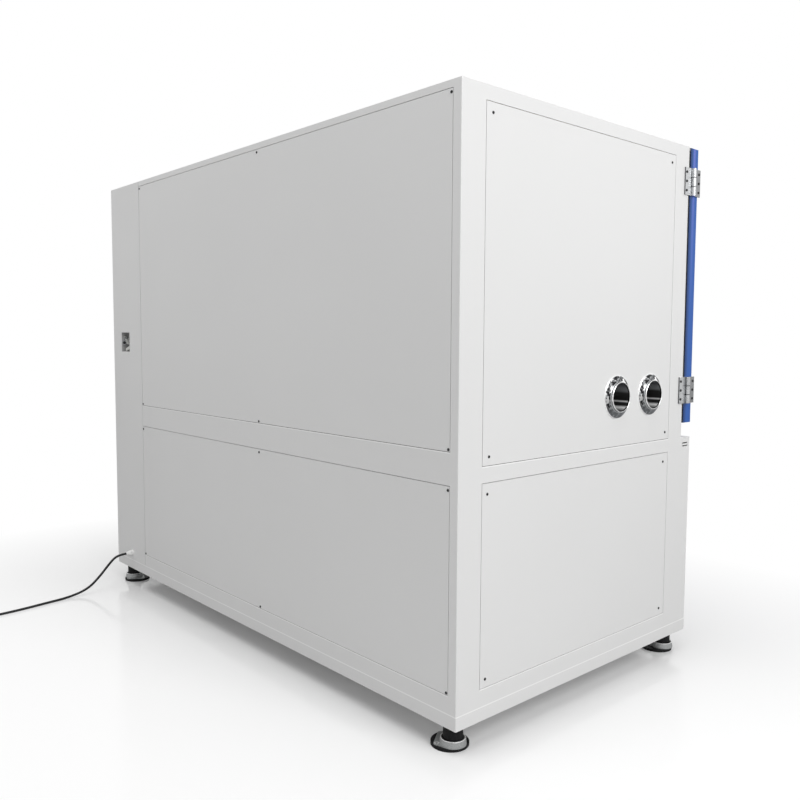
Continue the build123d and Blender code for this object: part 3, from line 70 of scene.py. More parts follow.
# Controls on the column's door and the latches
LATCH_UP = BASE + 1.290
BUTTON_ROW = BASE + 1.120
BUTTON_SIDE = 0.045
SWITCH_UP = BASE + 0.980
SOCKET = (RIGHT - 0.127, REAR, BASE + 1.020)
SCREEN = ((COLUMN + 0.059 + RIGHT - 0.001) / 2, BASE + 1.290)

# Feet, and the radius of the small screws
PAD_TOP = 0.0090
CUP_RIM = 0.0268
CAP_RADIUS = 0.0283
ANCHOR = (0.026, 0.037)
SCREW = 0.0042


class Signal:
    """A value, colour or vector on its way through the nodes of a finish."""

    def __init__(self, finish, socket):
        self.finish = finish
        self.socket = socket

    def combine(self, other, operation, flipped=False):
        plain = isinstance(other, (int, float)) or (
            isinstance(other, Signal) and other.socket.type == "VALUE")
        pair = (other, self) if flipped else (self, other)
        kind = "ShaderNodeMath" if plain and self.socket.type == "VALUE" else "ShaderNodeVectorMath"
        if kind == "ShaderNodeVectorMath":
            pair = [(v, v, v) if isinstance(v, (int, float)) else v for v in pair]
        return self.finish.add(kind, {"operation": operation}, dict(enumerate(pair)))

    def __add__(self, other):
        return self.combine(other, "ADD")

    __radd__ = __add__

    def __sub__(self, other):
        return self.combine(other, "SUBTRACT")

    def __rsub__(self, other):
        return self.combine(other, "SUBTRACT", True)

    def __mul__(self, other):
        return self.combine(other, "MULTIPLY")

    __rmul__ = __mul__

    def __truediv__(self, other):
        return self.combine(other, "DIVIDE")

    def power(self, other):
        return self.combine(other, "POWER")

    def over(self, limit):
        return self.combine(limit, "GREATER_THAN")

    def under(self, limit):
        return self.combine(limit, "LESS_THAN")

    def most(self, other):
        return self.combine(other, "MAXIMUM")

    def bare(self):
        """The value or vector without its sign."""
        kind = "ShaderNodeMath" if self.socket.type == "VALUE" else "ShaderNodeVectorMath"
        return self.finish.add(kind, {"operation": "ABSOLUTE"}, {0: self})

    def wave(self):
        return self.finish.add("ShaderNodeMath", {"operation": "SINE"}, {0: self})

    def size(self):
        return self.finish.add("ShaderNodeVectorMath", {"operation": "LENGTH"}, {0: self}, "Value")

    def spread(self, low, high, to_low=0.0, to_high=1.0):
        """The value moved from one range to another and held inside it."""
        return self.finish.add("ShaderNodeMapRange", {"clamp": True}, {
            0: self, 1: low, 2: high, 3: to_low, 4: to_high})

    def part(self, axis):
        return self.finish.add("ShaderNodeSeparateXYZ", {}, {0: self}, "XYZ".index(axis))


class Finish:
    """A named material whose look comes from the place on the piece, in metres."""

    def __init__(self, name, **fixed):
        self.material = bpy.data.materials.new(name)
        self.material.use_nodes = True
        self.tree = self.material.node_tree
        self.tree.nodes.clear()
        self.surface = self.tree.nodes.new("ShaderNodeBsdfPrincipled")
        self.output = self.tree.nodes.new("ShaderNodeOutputMaterial")
        self.tree.links.new(self.surface.outputs[0], self.output.inputs["Surface"])
        for socket, value in fixed.items():
            self.surface.inputs[socket.replace("_", " ")].default_value = value
        self.place = self.add("ShaderNodeTexCoord", {}, {}, "Object")

    def add(self, kind, settings, inputs, output=0):
        """Adds a node: its settings come first, then the values or links of its sockets."""
        node = self.tree.nodes.new(kind)
        for name, value in settings.items():
            if name == "stops":
                ramp = node.color_ramp.elements
                while len(ramp) < len(value):
                    ramp.new(0.5)
                for element, (spot, colour) in zip(ramp, value):
                    element.position = spot
                    element.color = (*colour, 1.0)
            else:
                setattr(node, name, value)
        for name, value in inputs.items():
            if isinstance(value, Signal):
                self.tree.links.new(value.socket, node.inputs[name])
            else:
                node.inputs[name].default_value = value
        return Signal(self, node.outputs[output])

    def noise(self, scale, detail=2.0, stretch=(1.0, 1.0, 1.0), rough=0.5):
        return self.add("ShaderNodeTexNoise", {}, {
            "Vector": self.place * stretch, "Scale": scale, "Detail": detail, "Roughness": rough})

    def blend(self, share, first, second):
        colours = [c if isinstance(c, Signal) else (*c, 1.0) for c in (first, second)]
        return self.add("ShaderNodeMix", {"data_type": "RGBA"}, {
            0: share, 6: colours[0], 7: colours[1]}, 2)

    def relief(self, height, strength, depth):
        return self.add("ShaderNodeBump", {}, {
            "Strength": strength, "Distance": depth, "Height": height})

    def wear(self, **signals):
        """Links signals to the surface's own sockets."""
        for socket, value in signals.items():
            self.tree.links.new(value.socket, self.surface.inputs[socket.replace("_", " ")])
        return self


def shade(colour, factor):
    return tuple(min(1.0, c * factor) for c in colour)


def powder_coat(name, colour, rough=0.38, peel=0.06, painted_seam_light_and_shade=False, shine=0.5):
    """Baked powder paint: fine orange peel, faint clouds and a little dust low down; where asked,
    painted highlights below the seams and painted shade in the grooves round the panels.
    """
    f = Finish(name, Specular_IOR_Level=shine)
    clouds = f.noise(0.9, 2.0)
    wiped = f.noise(3.0, 2.0)
    skin = f.noise(620.0, 2.0)
    grit = f.noise(2400.0, 1.0)
    tone = f.blend(clouds.spread(0.3, 0.7), shade(colour, 0.985), shade(colour, 1.01))
    dust = f.place.part("Z").spread(0.08, 0.42, 0.07, 0.0) * wiped
    tone = f.blend(dust, tone, shade(colour, 0.72))
    if painted_seam_light_and_shade:
        # Painted highlight: lighter lines just below the seams; then painted shade: dark lines in
        # the grooves round the panels.
        tone = f.blend(painted_seam_highlights(f), tone, shade(colour, 1.22))
        tone = f.blend(painted_groove_shade(f), tone, shade(colour, 0.22))
    return f.wear(
        Base_Color=tone,
        Roughness=wiped.spread(0.3, 0.75, rough - 0.04, rough + 0.05) + grit * 0.04,
        Normal=f.relief(skin + grit * 0.4, peel, 0.0004))


def painted_seam_highlights(f):
    """Mask of the painted highlights on the folded edges: the base's seam and below each panel."""
    x, y, z = (f.place.part(axis) for axis in "XYZ")
    side = y.over(FACE + 0.085) * y.under(REAR - 0.091) * x.under(LEFT + 0.002).most(
        x.over(RIGHT - 0.002))
    rear = y.over(REAR - 0.002) * x.over(LEFT + 0.030) * x.under(COLUMN)
    low, low_panel, side_panel, rear_panel = (
        z.over(top - 0.0032) * z.under(top) for top in (0.117, 0.166, 0.779, 0.823))
    return low.most(low_panel * side.most(rear)).most(side_panel * side).most(rear_panel * rear)


def painted_groove_shade(f):
    """Mask of painted shade on the folds behind the skin, seen as thin dark lines round the panels.
    """
    x, y, z = (f.place.part(axis) for axis in "XYZ")
    behind = x.over(LEFT + 0.0008) * x.under(RIGHT - 0.0008) * y.over(FACE + 0.0008) * y.under(
        REAR - 0.0008)
    shallow = x.under(LEFT + 0.022).most(x.over(RIGHT - 0.022)).most(y.over(REAR - 0.022))
    return behind * shallow * z.over(0.170)


def door_coat(name, colour):
    """Blue paint of the doors, with painted shade darkening the seal's side of their edges and a
    painted highlight strip along their edges, brighter higher up.
    """
    f = Finish(name, Specular_IOR_Level=0.22)
    clouds = f.noise(0.9, 2.0)
    skin = f.noise(620.0, 2.0)
    depth = f.place.part("Y")
    tone = f.blend(clouds.spread(0.3, 0.7), shade(colour, 0.97), shade(colour, 1.03))
    edge = f.place.part("X").under(LEFT + 0.012).most(f.place.part("X").over(COLUMN - 0.012))
    # Painted shade on the door edges towards the seal.
    painted_fold_shade = depth.spread(FRONT + 0.030, FRONT + 0.046) * edge
    tone = f.blend(painted_fold_shade, tone, shade(colour, 0.42))
    # Painted highlight: a pale blue strip along the door edges, growing towards the top.
    painted_door_edge_highlight = depth.spread(FRONT + 0.014, FRONT + 0.024) * depth.spread(
        FRONT + 0.026, FRONT + 0.036, 1.0, 0.0) * edge * f.place.part("Z").spread(1.2, 1.75)
    tone = f.blend(painted_door_edge_highlight * 0.8, tone, (0.16, 0.20, 0.62))
    return f.wear(
        Base_Color=tone, Roughness=clouds.spread(0.3, 0.75, 0.28, 0.36),
        Normal=f.relief(skin, 0.10, 0.0004))


def port_chrome(name, back):
    """Bright turned port whose colour is painted reflection: the dark and light bands of a room
    round it, painted highlights on the flange edge and lip, painted shadow in the rebate and
    painted reflection bands in the bore.
    """
    f = Finish(name)
    x = f.place.part("X") - LEFT
    offset = (f.place - (0.0, REAR - back, PORT_UP)) * (0.0, 1.0, 1.0)
    away = offset.size()
    turn = offset / away
    across, up = turn.part("Y"), turn.part("Z")
    # Painted reflection: dark and light patches on the flange, then a painted sky glare and a
    # darker painted floor reflection below.
    patch = f.add("ShaderNodeTexNoise", {}, {
        "Vector": turn * 1.6 + offset * 75.0, "Scale": 1.0, "Detail": 2.0}).spread(0.50, 0.60)
    painted_flange_reflection = f.blend(patch, (0.022, 0.023, 0.025), (0.42, 0.43, 0.44))
    flash = f.add("ShaderNodeTexNoise", {}, {
        "Vector": turn * 2.2 - offset * 95.0, "Scale": 1.0, "Detail": 1.0})
    painted_sky_glare = (up + across * 0.5).spread(-0.2, 0.6) * flash.spread(0.54, 0.59)
    painted_flange_reflection = f.blend(painted_sky_glare, painted_flange_reflection, (0.98, 0.98, 0.98))
    painted_floor_reflection = up.spread(-0.8, -0.5, 0.55, 0.0)
    painted_flange_reflection = f.blend(painted_floor_reflection, painted_flange_reflection, (0.24, 0.25, 0.26))
    # Painted highlight on the flange's outer edge, a darker painted reflection on the collar and a
    # painted highlight on its lip.
    painted_flange_edge_highlight = away.over(PORT_EDGE)
    tone = f.blend(painted_flange_edge_highlight, painted_flange_reflection, (0.95, 0.95, 0.95))
    tube = away.under(PORT_RIM) * away.over(0.0452)
    tone = f.blend(tube, tone, (0.40, 0.41, 0.42))
    painted_lip_highlight = x.under(-0.0140) * away.over(0.0458) * away.under(PORT_RIM)
    tone = f.blend(painted_lip_highlight, tone, (1.0, 1.0, 1.0))
    # Painted shadow in the rebate at the mouth.
    painted_rebate_shadow = away.under(PORT_REBATE) * away.over(PORT_BORE) * x.under(-0.0100)
    tone = f.blend(painted_rebate_shadow, tone, (0.012, 0.012, 0.013))
    # Painted reflection: light and dark bands round the inside of the bore.
    bore = away.under(PORT_BORE)
    wall = f.add("ShaderNodeValToRGB", {"stops": (
        (0.0, (0.02, 0.02, 0.02)), (0.10, (0.95, 0.95, 0.95)), (0.17, (0.02, 0.02, 0.02)),
        (0.27, (0.03, 0.03, 0.03)), (0.31, (0.90, 0.90, 0.90)), (0.36, (0.02, 0.02, 0.02)),
        (0.62, (0.04, 0.04, 0.04)), (0.70, (0.28, 0.29, 0.30)), (0.92, (0.10, 0.10, 0.11)))},
        {"Fac": (up + 1.0) * 0.5})
    tone = f.blend(bore, tone, wall)
    hair = f.noise(900.0, 2.0)
    return f.wear(
        Base_Color=tone, Metallic=1.0 - bore * 0.9, Roughness=hair.spread(0.2, 0.8, 0.10, 0.20),
        Normal=f.relief(hair, 0.04, 0.0001))


def hinge_finish(name):
    """Satin chrome of the hinges, with painted shade where the leaves turn away and painted shadow
    at the knuckle gaps.
    """
    f = Finish(name, Metallic=1.0)
    x, y, z = (f.place.part(axis) for axis in "XYZ")
    haze = f.noise(30.0, 3.0)
    tone = f.blend(haze.spread(0.35, 0.7), (0.56, 0.57, 0.58), (0.66, 0.67, 0.68))
    side = x.under(LEFT - 0.0005)
    axis = y - (FACE - HINGE_BACK)
    # Painted shade on the parts of the leaves that turn away.
    painted_fold_shade = axis.over(0.0485).most(axis.bare().over(0.0078) * axis.bare().under(0.0110))
    painted_far_shade = axis.under(-0.012) * 0.55
    tone = f.blend((painted_fold_shade * 0.85).most(painted_far_shade) * side, tone, (0.06, 0.06, 0.065))
    # Painted shadow in the gaps between the knuckles.
    painted_gap_shadow = None
    for centre in HINGE_LEVELS:
        for part in (-KNUCKLE_SPLIT, KNUCKLE_SPLIT):
            gap = (z - (centre + part)).bare().under(0.0013)
            painted_gap_shadow = gap if painted_gap_shadow is None else painted_gap_shadow.most(gap)
    knuckles = axis.bare().under(0.0092)
    tone = f.blend(painted_gap_shadow * knuckles * 0.9, tone, (0.02, 0.02, 0.022))
    return f.wear(
        Base_Color=tone, Roughness=haze.spread(0.3, 0.7, 0.18, 0.30),
        Normal=f.relief(f.noise(1500.0, 2.0), 0.05, 0.0001))


def brushed(name, colour, along="X", rough=0.30):
    """Stainless sheet with a directional grain and faint handling marks."""
    f = Finish(name, Metallic=1.0)
    stretch = {"X": (0.02, 1.0, 1.0), "Y": (1.0, 0.02, 1.0), "Z": (1.0, 1.0, 0.02)}[along]
    grain = f.noise(900.0, 3.0, stretch)
    smudge = f.noise(5.0, 3.0)
    return f.wear(
        Base_Color=f.blend(grain.spread(0.3, 0.7), shade(colour, 0.88), shade(colour, 1.08)),
        Roughness=grain * 0.14 + smudge.spread(0.35, 0.7, rough - 0.08, rough + 0.08),
        Normal=f.relief(grain, 0.12, 0.0002))


def polished(name, colour, rough=0.10):
    """Turned or plated bright metal with hairline scratches and faint cloudiness."""
    f = Finish(name, Metallic=1.0)
    hair = f.noise(1500.0, 2.0, (1.0, 0.08, 0.3))
    haze = f.noise(22.0, 3.0)
    return f.wear(
        Base_Color=f.blend(haze.spread(0.35, 0.7), colour, shade(colour, 0.86)),
        Roughness=haze.spread(0.3, 0.7, rough, rough + 0.10) + hair * 0.05,
        Normal=f.relief(hair, 0.05, 0.0001))


def rubber(name, colour=(0.016, 0.016, 0.017), rough=0.62):
    f = Finish(name, Specular_IOR_Level=0.15)
    grain = f.noise(1100.0, 3.0)
    bloom = f.noise(16.0, 4.0)
    return f.wear(
        Base_Color=f.blend(bloom.spread(0.4, 0.8, 0.0, 0.6), colour, shade(colour, 2.2)),
        Roughness=bloom.spread(0.3, 0.7, rough - 0.06, rough + 0.12),
        Normal=f.relief(grain, 0.25, 0.0003))


def plastic(name, colour, rough=0.42, fine=0.18):
    """Moulded plastic with a fine spark-eroded grain."""
    f = Finish(name, Specular_IOR_Level=0.35)
    grain = f.noise(1800.0, 2.0)
    flow = f.noise(9.0, 2.0)
    return f.wear(
        Base_Color=f.blend(flow.spread(0.3, 0.7), shade(colour, 0.95), shade(colour, 1.04)),
        Roughness=grain * 0.10 + flow.spread(0.3, 0.7, rough - 0.05, rough + 0.05),
        Normal=f.relief(grain, fine, 0.0002))


def pane(name):
    """Toughened window glass with a faint green body and a few water marks."""
    f = Finish(name, Transmission_Weight=1.0, IOR=1.46)
    marks = f.noise(14.0, 4.0)
    return f.wear(
        Base_Color=f.blend(marks.spread(0.4, 0.7), (0.90, 0.95, 0.93), (0.94, 0.97, 0.96)),
        Roughness=marks.spread(0.62, 0.8, 0.015, 0.07))


def wool(name):
    f = Finish(name)
    fibre = f.noise(260.0, 5.0, (1.0, 1.0, 0.2), 0.7)
    return f.wear(
        Base_Color=f.blend(fibre.spread(0.3, 0.7), (0.52, 0.42, 0.17), (0.78, 0.70, 0.44)),
        Roughness=fibre.spread(0.0, 1.0, 0.85, 0.98),
        Normal=f.relief(fibre, 0.7, 0.004))


def foot_metal(name, centre, inward):
    """One foot in three materials: rubber pad, cast grey base and black cap, with painted
    highlights on the cup's rim and round the anchor hole.
    """
    f = Finish(name, Specular_IOR_Level=0.12)
    z = f.place.part("Z")
    away = (f.place * (1.0, 1.0, 0.0) - (centre[0], centre[1], 0.0)).size()
    steel = z.over(PAD_TOP) * away.over(CAP_RADIUS)
    # Painted highlight on the cup's rim and on a ring round the anchor hole.
    painted_rim_highlight = z.over(CUP_RIM) * steel
    grain = f.noise(420.0, 3.0)
    bright = f.blend(grain.spread(0.3, 0.7), (0.34, 0.35, 0.35), (0.46, 0.47, 0.47))
    anchor = (centre[0] + ANCHOR[0] * inward[0], centre[1] - ANCHOR[1] * inward[1], 0.0)
    hole = (f.place * (1.0, 1.0, 0.0) - anchor).size()
    bright = f.blend(painted_rim_highlight.most(hole.under(0.0072) * steel), bright, (0.90, 0.90, 0.90))
    dark = f.blend(grain.spread(0.4, 0.7), (0.010, 0.010, 0.011), (0.024, 0.024, 0.025))
    return f.wear(
        Base_Color=f.blend(steel, dark, bright),
        Metallic=steel * 0.45,
        Roughness=0.50 + grain * 0.12 - steel * 0.12,
        Normal=f.relief(grain, 0.15, 0.0004))


def plug_finish(name):
    """Grey plug with plated pins."""
    f = Finish(name, Specular_IOR_Level=0.3)
    pins = f.place.part("X").under(COIL_ACROSS - 0.1030)
    grain = f.noise(1500.0, 2.0)
    body = f.blend(grain.spread(0.3, 0.7), (0.040, 0.040, 0.042), (0.060, 0.060, 0.062))
    return f.wear(
        Base_Color=f.blend(pins, body, (0.72, 0.66, 0.50)), Metallic=pins * 1.0,
        Roughness=0.46 + grain * 0.08 - pins * 0.26, Normal=f.relief(grain, 0.15, 0.0002))


def screen_finish(name):
    """Touch screen: dark bezel, and a lit page with a grid, two traces and value fields."""
    f = Finish(name, Specular_IOR_Level=0.6, Emission_Strength=0.8)
    x = f.place.part("X") - SCREEN[0]
    z = f.place.part("Z") - SCREEN[1]
    page = x.bare().under(0.078) * z.bare().under(0.056) * f.place.part("Y").under(FRONT - 0.0035)
    plot = page * x.over(-0.074) * x.under(0.022) * z.over(-0.050) * z.under(0.034)
    fields = page * x.over(0.028) * x.under(0.072) * z.over(-0.050) * z.under(0.034)
    rows = ((z + 0.050) * 224.0).wave().over(-0.55)
    grid = (x * 524.0).wave().over(0.985).most((z * 524.0).wave().over(0.985)) * plot
    warm = (z - (x * 70.0).wave() * 0.012 - 0.006).bare().under(0.0011) * plot
    damp = (z - (x * 48.0).wave() * 0.009 + 0.022).bare().under(0.0011) * plot
    head = page * z.over(0.040)
    tone = f.blend(page, (0.010, 0.011, 0.013), (0.52, 0.60, 0.70))
    tone = f.blend(head, tone, (0.03, 0.10, 0.26))
    tone = f.blend(plot, tone, (0.015, 0.03, 0.06))
    tone = f.blend(grid, tone, (0.06, 0.10, 0.15))
    tone = f.blend(fields * rows, tone, (0.90, 0.92, 0.95))
    tone = f.blend(warm, tone, (0.90, 0.30, 0.06))
    tone = f.blend(damp, tone, (0.10, 0.55, 0.90))
    glow = f.blend(page, (0.0, 0.0, 0.0), tone)
    smear = f.noise(18.0, 3.0)
    return f.wear(Base_Color=tone, Emission_Color=glow,
                  Roughness=smear.spread(0.4, 0.75, 0.10, 0.26))


WHITE = (0.80, 0.80, 0.797)
BLUE = (0.022, 0.108, 0.42)
white_coat = powder_coat("white_powder_coat", WHITE)
frame_coat = powder_coat("white_frame_coat", WHITE, painted_seam_light_and_shade=True)
socket_coat = plastic("signal_pocket", (0.48, 0.48, 0.48))
blue_coat = door_coat("blue_powder_coat", BLUE)
ports = {place: port_chrome(place + "_port_steel", back) for place, back in PORT_BACKS.items()}
grey_coat = powder_coat("grey_frame_paint", (0.36, 0.37, 0.38), 0.5)
black_coat = powder_coat("black_machine_paint", (0.02, 0.02, 0.022), 0.42, shine=0.3)
liner_steel = brushed("stainless_sheet", (0.60, 0.61, 0.61))
frame_steel = brushed("stainless_channel", (0.60, 0.61, 0.61), "X", 0.28)
turned_steel = polished("turned_stainless", (0.50, 0.51, 0.52), 0.09)
hinge_chrome = hinge_finish("satin_chrome")
handle_chrome = polished("handle_chrome", (0.62, 0.63, 0.64), 0.16)
plug_coat = plug_finish("plug_plastic")
yellow_plastic = plastic("yellow_ring", (0.78, 0.52, 0.02), 0.34, 0.05)
white_mark = plastic("white_marks", (0.80, 0.80, 0.80), 0.4, 0.05)
zinc = polished("zinc_plate", (0.50, 0.51, 0.50), 0.28)
fin_sheet = brushed("fin_aluminium", (0.70, 0.71, 0.72), "Z", 0.36)
door_rubber = rubber("door_seal_rubber")
lead_sheath = rubber("lead_sheath", (0.022, 0.022, 0.023), 0.46)
glass = pane("toughened_glass")
slab_wool = wool("mineral_wool")
black_plastic = plastic("black_plastic", (0.022, 0.022, 0.023))
grey_plastic = plastic("grey_plastic", (0.36, 0.37, 0.38))
pale_plastic = plastic("pale_nylon", (0.84, 0.84, 0.83), 0.34)
tank_plastic = plastic("milky_tank", (0.70, 0.71, 0.68), 0.46)
red_plastic = plastic("red_cap", (0.55, 0.016, 0.012), 0.26, 0.05)
green_plastic = plastic("green_cap", (0.02, 0.30, 0.06), 0.26, 0.05)
screen_glass = screen_finish("screen_front")
dark_screw = plastic("black_oxide", (0.018, 0.018, 0.019), 0.46, 0.1)

FINISHES = {
    white_coat: ["top_cover", "rear_upper_panel", "rear_lower_panel", "left_upper_panel",
                 "left_lower_panel", "right_upper_panel", "right_lower_panel",
                 "column_rear_panel", "lower_front_panel", "service_door", "column_door"],
    frame_coat: ["base_frame", "body_frame"],
    blue_coat: ["left_door", "right_door"],
    liner_steel: ["inner_liner", "duct_wall", "left_door_liner", "right_door_liner",
                  "shelf_supports"],
    frame_steel: ["door_frame", "left_window_frame", "right_window_frame"],
    turned_steel: ["shelves"],
    ports["rear"]: ["port_tube_rear"],
    ports["front"]: ["port_tube_front"],
    hinge_chrome: ["hinge_body_leaves", "left_door_hardware", "right_door_hardware"],
    handle_chrome: ["left_handle", "right_handle"],
    zinc: ["lock_nuts", "heater"],
    fin_sheet: ["evaporator", "condenser", "circulation_fan_left", "circulation_fan_right"],
    door_rubber: ["left_gasket", "right_gasket"],
    glass: ["left_window_glass", "right_window_glass"],
    slab_wool: ["insulation"],
    black_coat: ["compressors", "condenser_fan"],
    grey_coat: ["fan_motors"],
    black_plastic: ["main_switch"],
    grey_plastic: ["control_gear"],
    plug_coat: ["power_plug"],
    socket_coat: ["socket_outlet"],
    pale_plastic: ["cable_gland"],
    tank_plastic: ["water_tank"],
    red_plastic: ["emergency_stop"],
    green_plastic: ["power_button"],
    screen_glass: ["touch_screen"],
    lead_sheath: ["power_cord", "cord_coil"],
}
FEET = {
    "foot_rear_left": (LEFT + 0.058, REAR - 0.050),
    "foot_rear_right": (RIGHT - 0.058, REAR - 0.050),
    "foot_front_left": (LEFT + 0.058, FRONT + 0.050),
    "foot_front_right": (RIGHT - 0.058, FRONT + 0.050),
}


def dress_nodes():
    """Gives every CAD node its finish."""
    for finish, names in FINISHES.items():
        for name in names:
            paint(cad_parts[name], finish)
    for name, centre in FEET.items():
        inward = (1 if "left" in name else -1, -1 if "rear" in name else 1)
        paint(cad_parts[name], foot_metal(name + "_finish", centre, inward))


def paint(piece, finish):
    piece.data.materials.clear()
    piece.data.materials.append(finish.material)


def make_piece(name, mesh, finish, body, smooth=True):
    """Turns a bmesh into a piece that rides on a body."""
    data = bpy.data.meshes.new(name)
    bmesh.ops.recalc_face_normals(mesh, faces=mesh.faces)
    mesh.to_mesh(data)
    mesh.free()
    for face in data.polygons:
        face.use_smooth = smooth
    piece = bpy.data.objects.new(name, data)
    bpy.context.scene.collection.objects.link(piece)
    paint(piece, finish)
    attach(piece, body)
    return piece


def facing(point, direction):
    """A frame at a point whose Z runs along a direction."""
    turn = Vector(direction).to_track_quat("Z", "Y").to_matrix().to_4x4()
    return Matrix.Translation(point) @ turn


def turned_shape(mesh, profile, place, sides=24):
    """Turns (radius, height) pairs round the local Z axis, closed where a radius is 0."""
    rings = []
    for radius, height in profile:
        if radius == 0:
            rings.append([mesh.verts.new(place @ Vector((0, 0, height)))])
        else:
            rings.append([mesh.verts.new(place @ Vector((
                radius * math.cos(2 * math.pi * i / sides),
                radius * math.sin(2 * math.pi * i / sides), height))) for i in range(sides)])
    for low, high in zip(rings, rings[1:]):
        for i in range(sides):
            corners = [low[i % len(low)], low[(i + 1) % len(low)],
                       high[(i + 1) % len(high)], high[i % len(high)]]
            corners = list(dict.fromkeys(corners))
            if len(corners) > 2:
                mesh.faces.new(corners)


def add_block(mesh, centre, size, turn=0.0):
    """A box about a centre, turned round the Y axis."""
    place = Matrix.Translation(centre) @ Matrix.Rotation(turn, 4, "Y")
    bmesh.ops.create_cube(mesh, size=1.0, matrix=place @ Matrix.Diagonal((*size, 1)))


def screw_head(mesh, point, direction, radius):
    """A low domed screw head with a cross recess."""
    place = facing(point, direction)
    sides = 16
    shares = (1.0, 0.98, 0.86, 0.66, 0.46, 0.26)
    heights = (0.0, 0.18, 0.36, 0.46, 0.50, 0.52)
    rings = []
    for share, height in zip(shares, heights):
        ring = []
        for i in range(sides):
            in_cross = i % 4 == 0 and share < 0.6
            deep = 0.42 if in_cross else 0.0
            angle = 2 * math.pi * i / sides
            ring.append(mesh.verts.new(place @ Vector((
                radius * share * math.cos(angle), radius * share * math.sin(angle),
                radius * (height - deep)))))
        rings.append(ring)
    centre = mesh.verts.new(place @ Vector((0, 0, radius * 0.02)))
    for low, high in zip(rings, rings[1:]):
        for i in range(sides):
            mesh.faces.new((low[i], low[(i + 1) % sides], high[(i + 1) % sides], high[i]))
    for i in range(sides):
        mesh.faces.new((rings[-1][i], rings[-1][(i + 1) % sides], centre))


def add_screws(name, points, direction, radius, finish, body):
    mesh = bmesh.new()
    for point in points:
        screw_head(mesh, Vector(point), Vector(direction), radius)
    return make_piece(name, mesh, finish, body)


def panel_screws():
    """The small screws that hold the skin panels."""
    rear_across = (LEFT + 0.0365, LEFT + 0.961, COLUMN - 0.008)
    for name, heights in (("rear_upper", (BASE + 1.669, BASE + 0.754)),
                          ("rear_lower", (BASE + 0.646, BASE + 0.097))):
        add_screws(name + "_screws", [(x, REAR, z) for x in rear_across for z in heights],
                   (0, 1, 0), SCREW, dark_screw, "chamber")
    sides = (("upper", (0.118, 1.010), (BASE + 1.632, BASE + 0.728)),
             ("lower", (0.113, 1.003), (BASE + 0.627, BASE + 0.115)))
    for level, depths, heights in sides:
        for side, x, way in (("left", LEFT, -1), ("right", RIGHT, 1)):
            points = [(x, REAR - depth, z) for depth in depths for z in heights]
            add_screws(side + "_" + level + "_screws", points, (way, 0, 0), SCREW,
                       dark_screw, "chamber")


def signal_connectors():
    """Two round connectors on a slanting bracket in the pocket of the column's rear; black discs
    just inside their mouths stand in for the shade of the holes.
    """
    x, y, z = SOCKET
    bodies = bmesh.new()
    shaded_mouth_discs = bmesh.new()
    slanted = Vector((-0.82, 0.57, 0.0)).normalized()
    sockets = ((0.0320, 0.0085, -0.0035, 0.0066), (0.0265, 0.0120, 0.0155, 0.0038))
    for across, deep, up, hole in sockets:
        place = facing(Vector((x + across, y - deep, z + up)) - slanted * 0.014, slanted)
        outer = hole + 0.0026
        turned_shape(bodies, ((0, 0), (outer + 0.003, 0), (outer + 0.003, 0.005), (outer, 0.006),
                              (outer, 0.0135), (outer - 0.0006, 0.0140), (hole, 0.0140),
                              (hole, 0.0130)), place)
        # Painted shade: black discs close the shallow mouths in place of the holes' dark depth.
        turned_shape(shaded_mouth_discs, ((0, 0.0125), (hole + 0.0008, 0.0125), (hole + 0.0008, 0.0132),
                             (hole, 0.0136), (0, 0.0132)), place)
    make_piece("signal_connectors", bodies, grey_plastic, "chamber")
    make_piece("signal_connector_shade_discs", shaded_mouth_discs, door_rubber, "chamber")
    plate = bmesh.new()
    blocks = (((0.022, -0.020, 0.008), 0.75, (0.003, 0.020, 0.050)),
              ((-0.004, -0.018, -0.029), 0.30, (0.044, 0.020, 0.014)))
    for offset, turn, size in blocks:
        add_block(plate, Vector(SOCKET) + Vector(offset), size, turn)
    bmesh.ops.bevel(plate, geom=plate.edges[:], offset=0.0008, segments=2, affect="EDGES")
    make_piece("signal_bracket", plate, tank_plastic, "chamber", smooth=False)


def control_marks():
    """Rings round the two buttons, and the marks and pointer of the main switch."""
    middle = SCREEN[0]
    ring = bmesh.new()
    turned_shape(ring, ((0.0110, 0), (0.0290, 0), (0.0290, 0.0003), (0.0285, 0.0006),
                        (0.0110, 0.0006), (0.0110, 0)),
                 facing((middle - BUTTON_SIDE, FRONT, BUTTON_ROW), (0, -1, 0)), 40)
    make_piece("stop_button_ring", ring, yellow_plastic, "column_door")
    collar = bmesh.new()
    turned_shape(collar, ((0.0122, 0), (0.0165, 0), (0.0165, 0.0016), (0.0155, 0.0026),
                          (0.0122, 0.0026), (0.0122, 0)),
                 facing((middle + BUTTON_SIDE, FRONT, BUTTON_ROW), (0, -1, 0)), 32)
    make_piece("power_button_collar", collar, handle_chrome, "column_door")
    one = bmesh.new()
    add_block(one, (middle, FRONT - 0.0005, SWITCH_UP + 0.0435), (0.0022, 0.0010, 0.0090))
    make_piece("switch_on_mark", one, black_plastic, "column_door", smooth=False)
    zero = bmesh.new()
    turned_shape(zero, ((0.0032, 0), (0.0050, 0), (0.0050, 0.0010), (0.0032, 0.0010), (0.0032, 0)),
                 facing((middle + 0.0435, FRONT, SWITCH_UP), (0, -1, 0)), 24)
    make_piece("switch_off_mark", zero, black_plastic, "column_door")
    line = bmesh.new()
    add_block(line, (middle, FRONT - 0.0262, SWITCH_UP + 0.0155), (0.0026, 0.0010, 0.0180))
    make_piece("switch_pointer", line, white_mark, "main_switch", smooth=False)


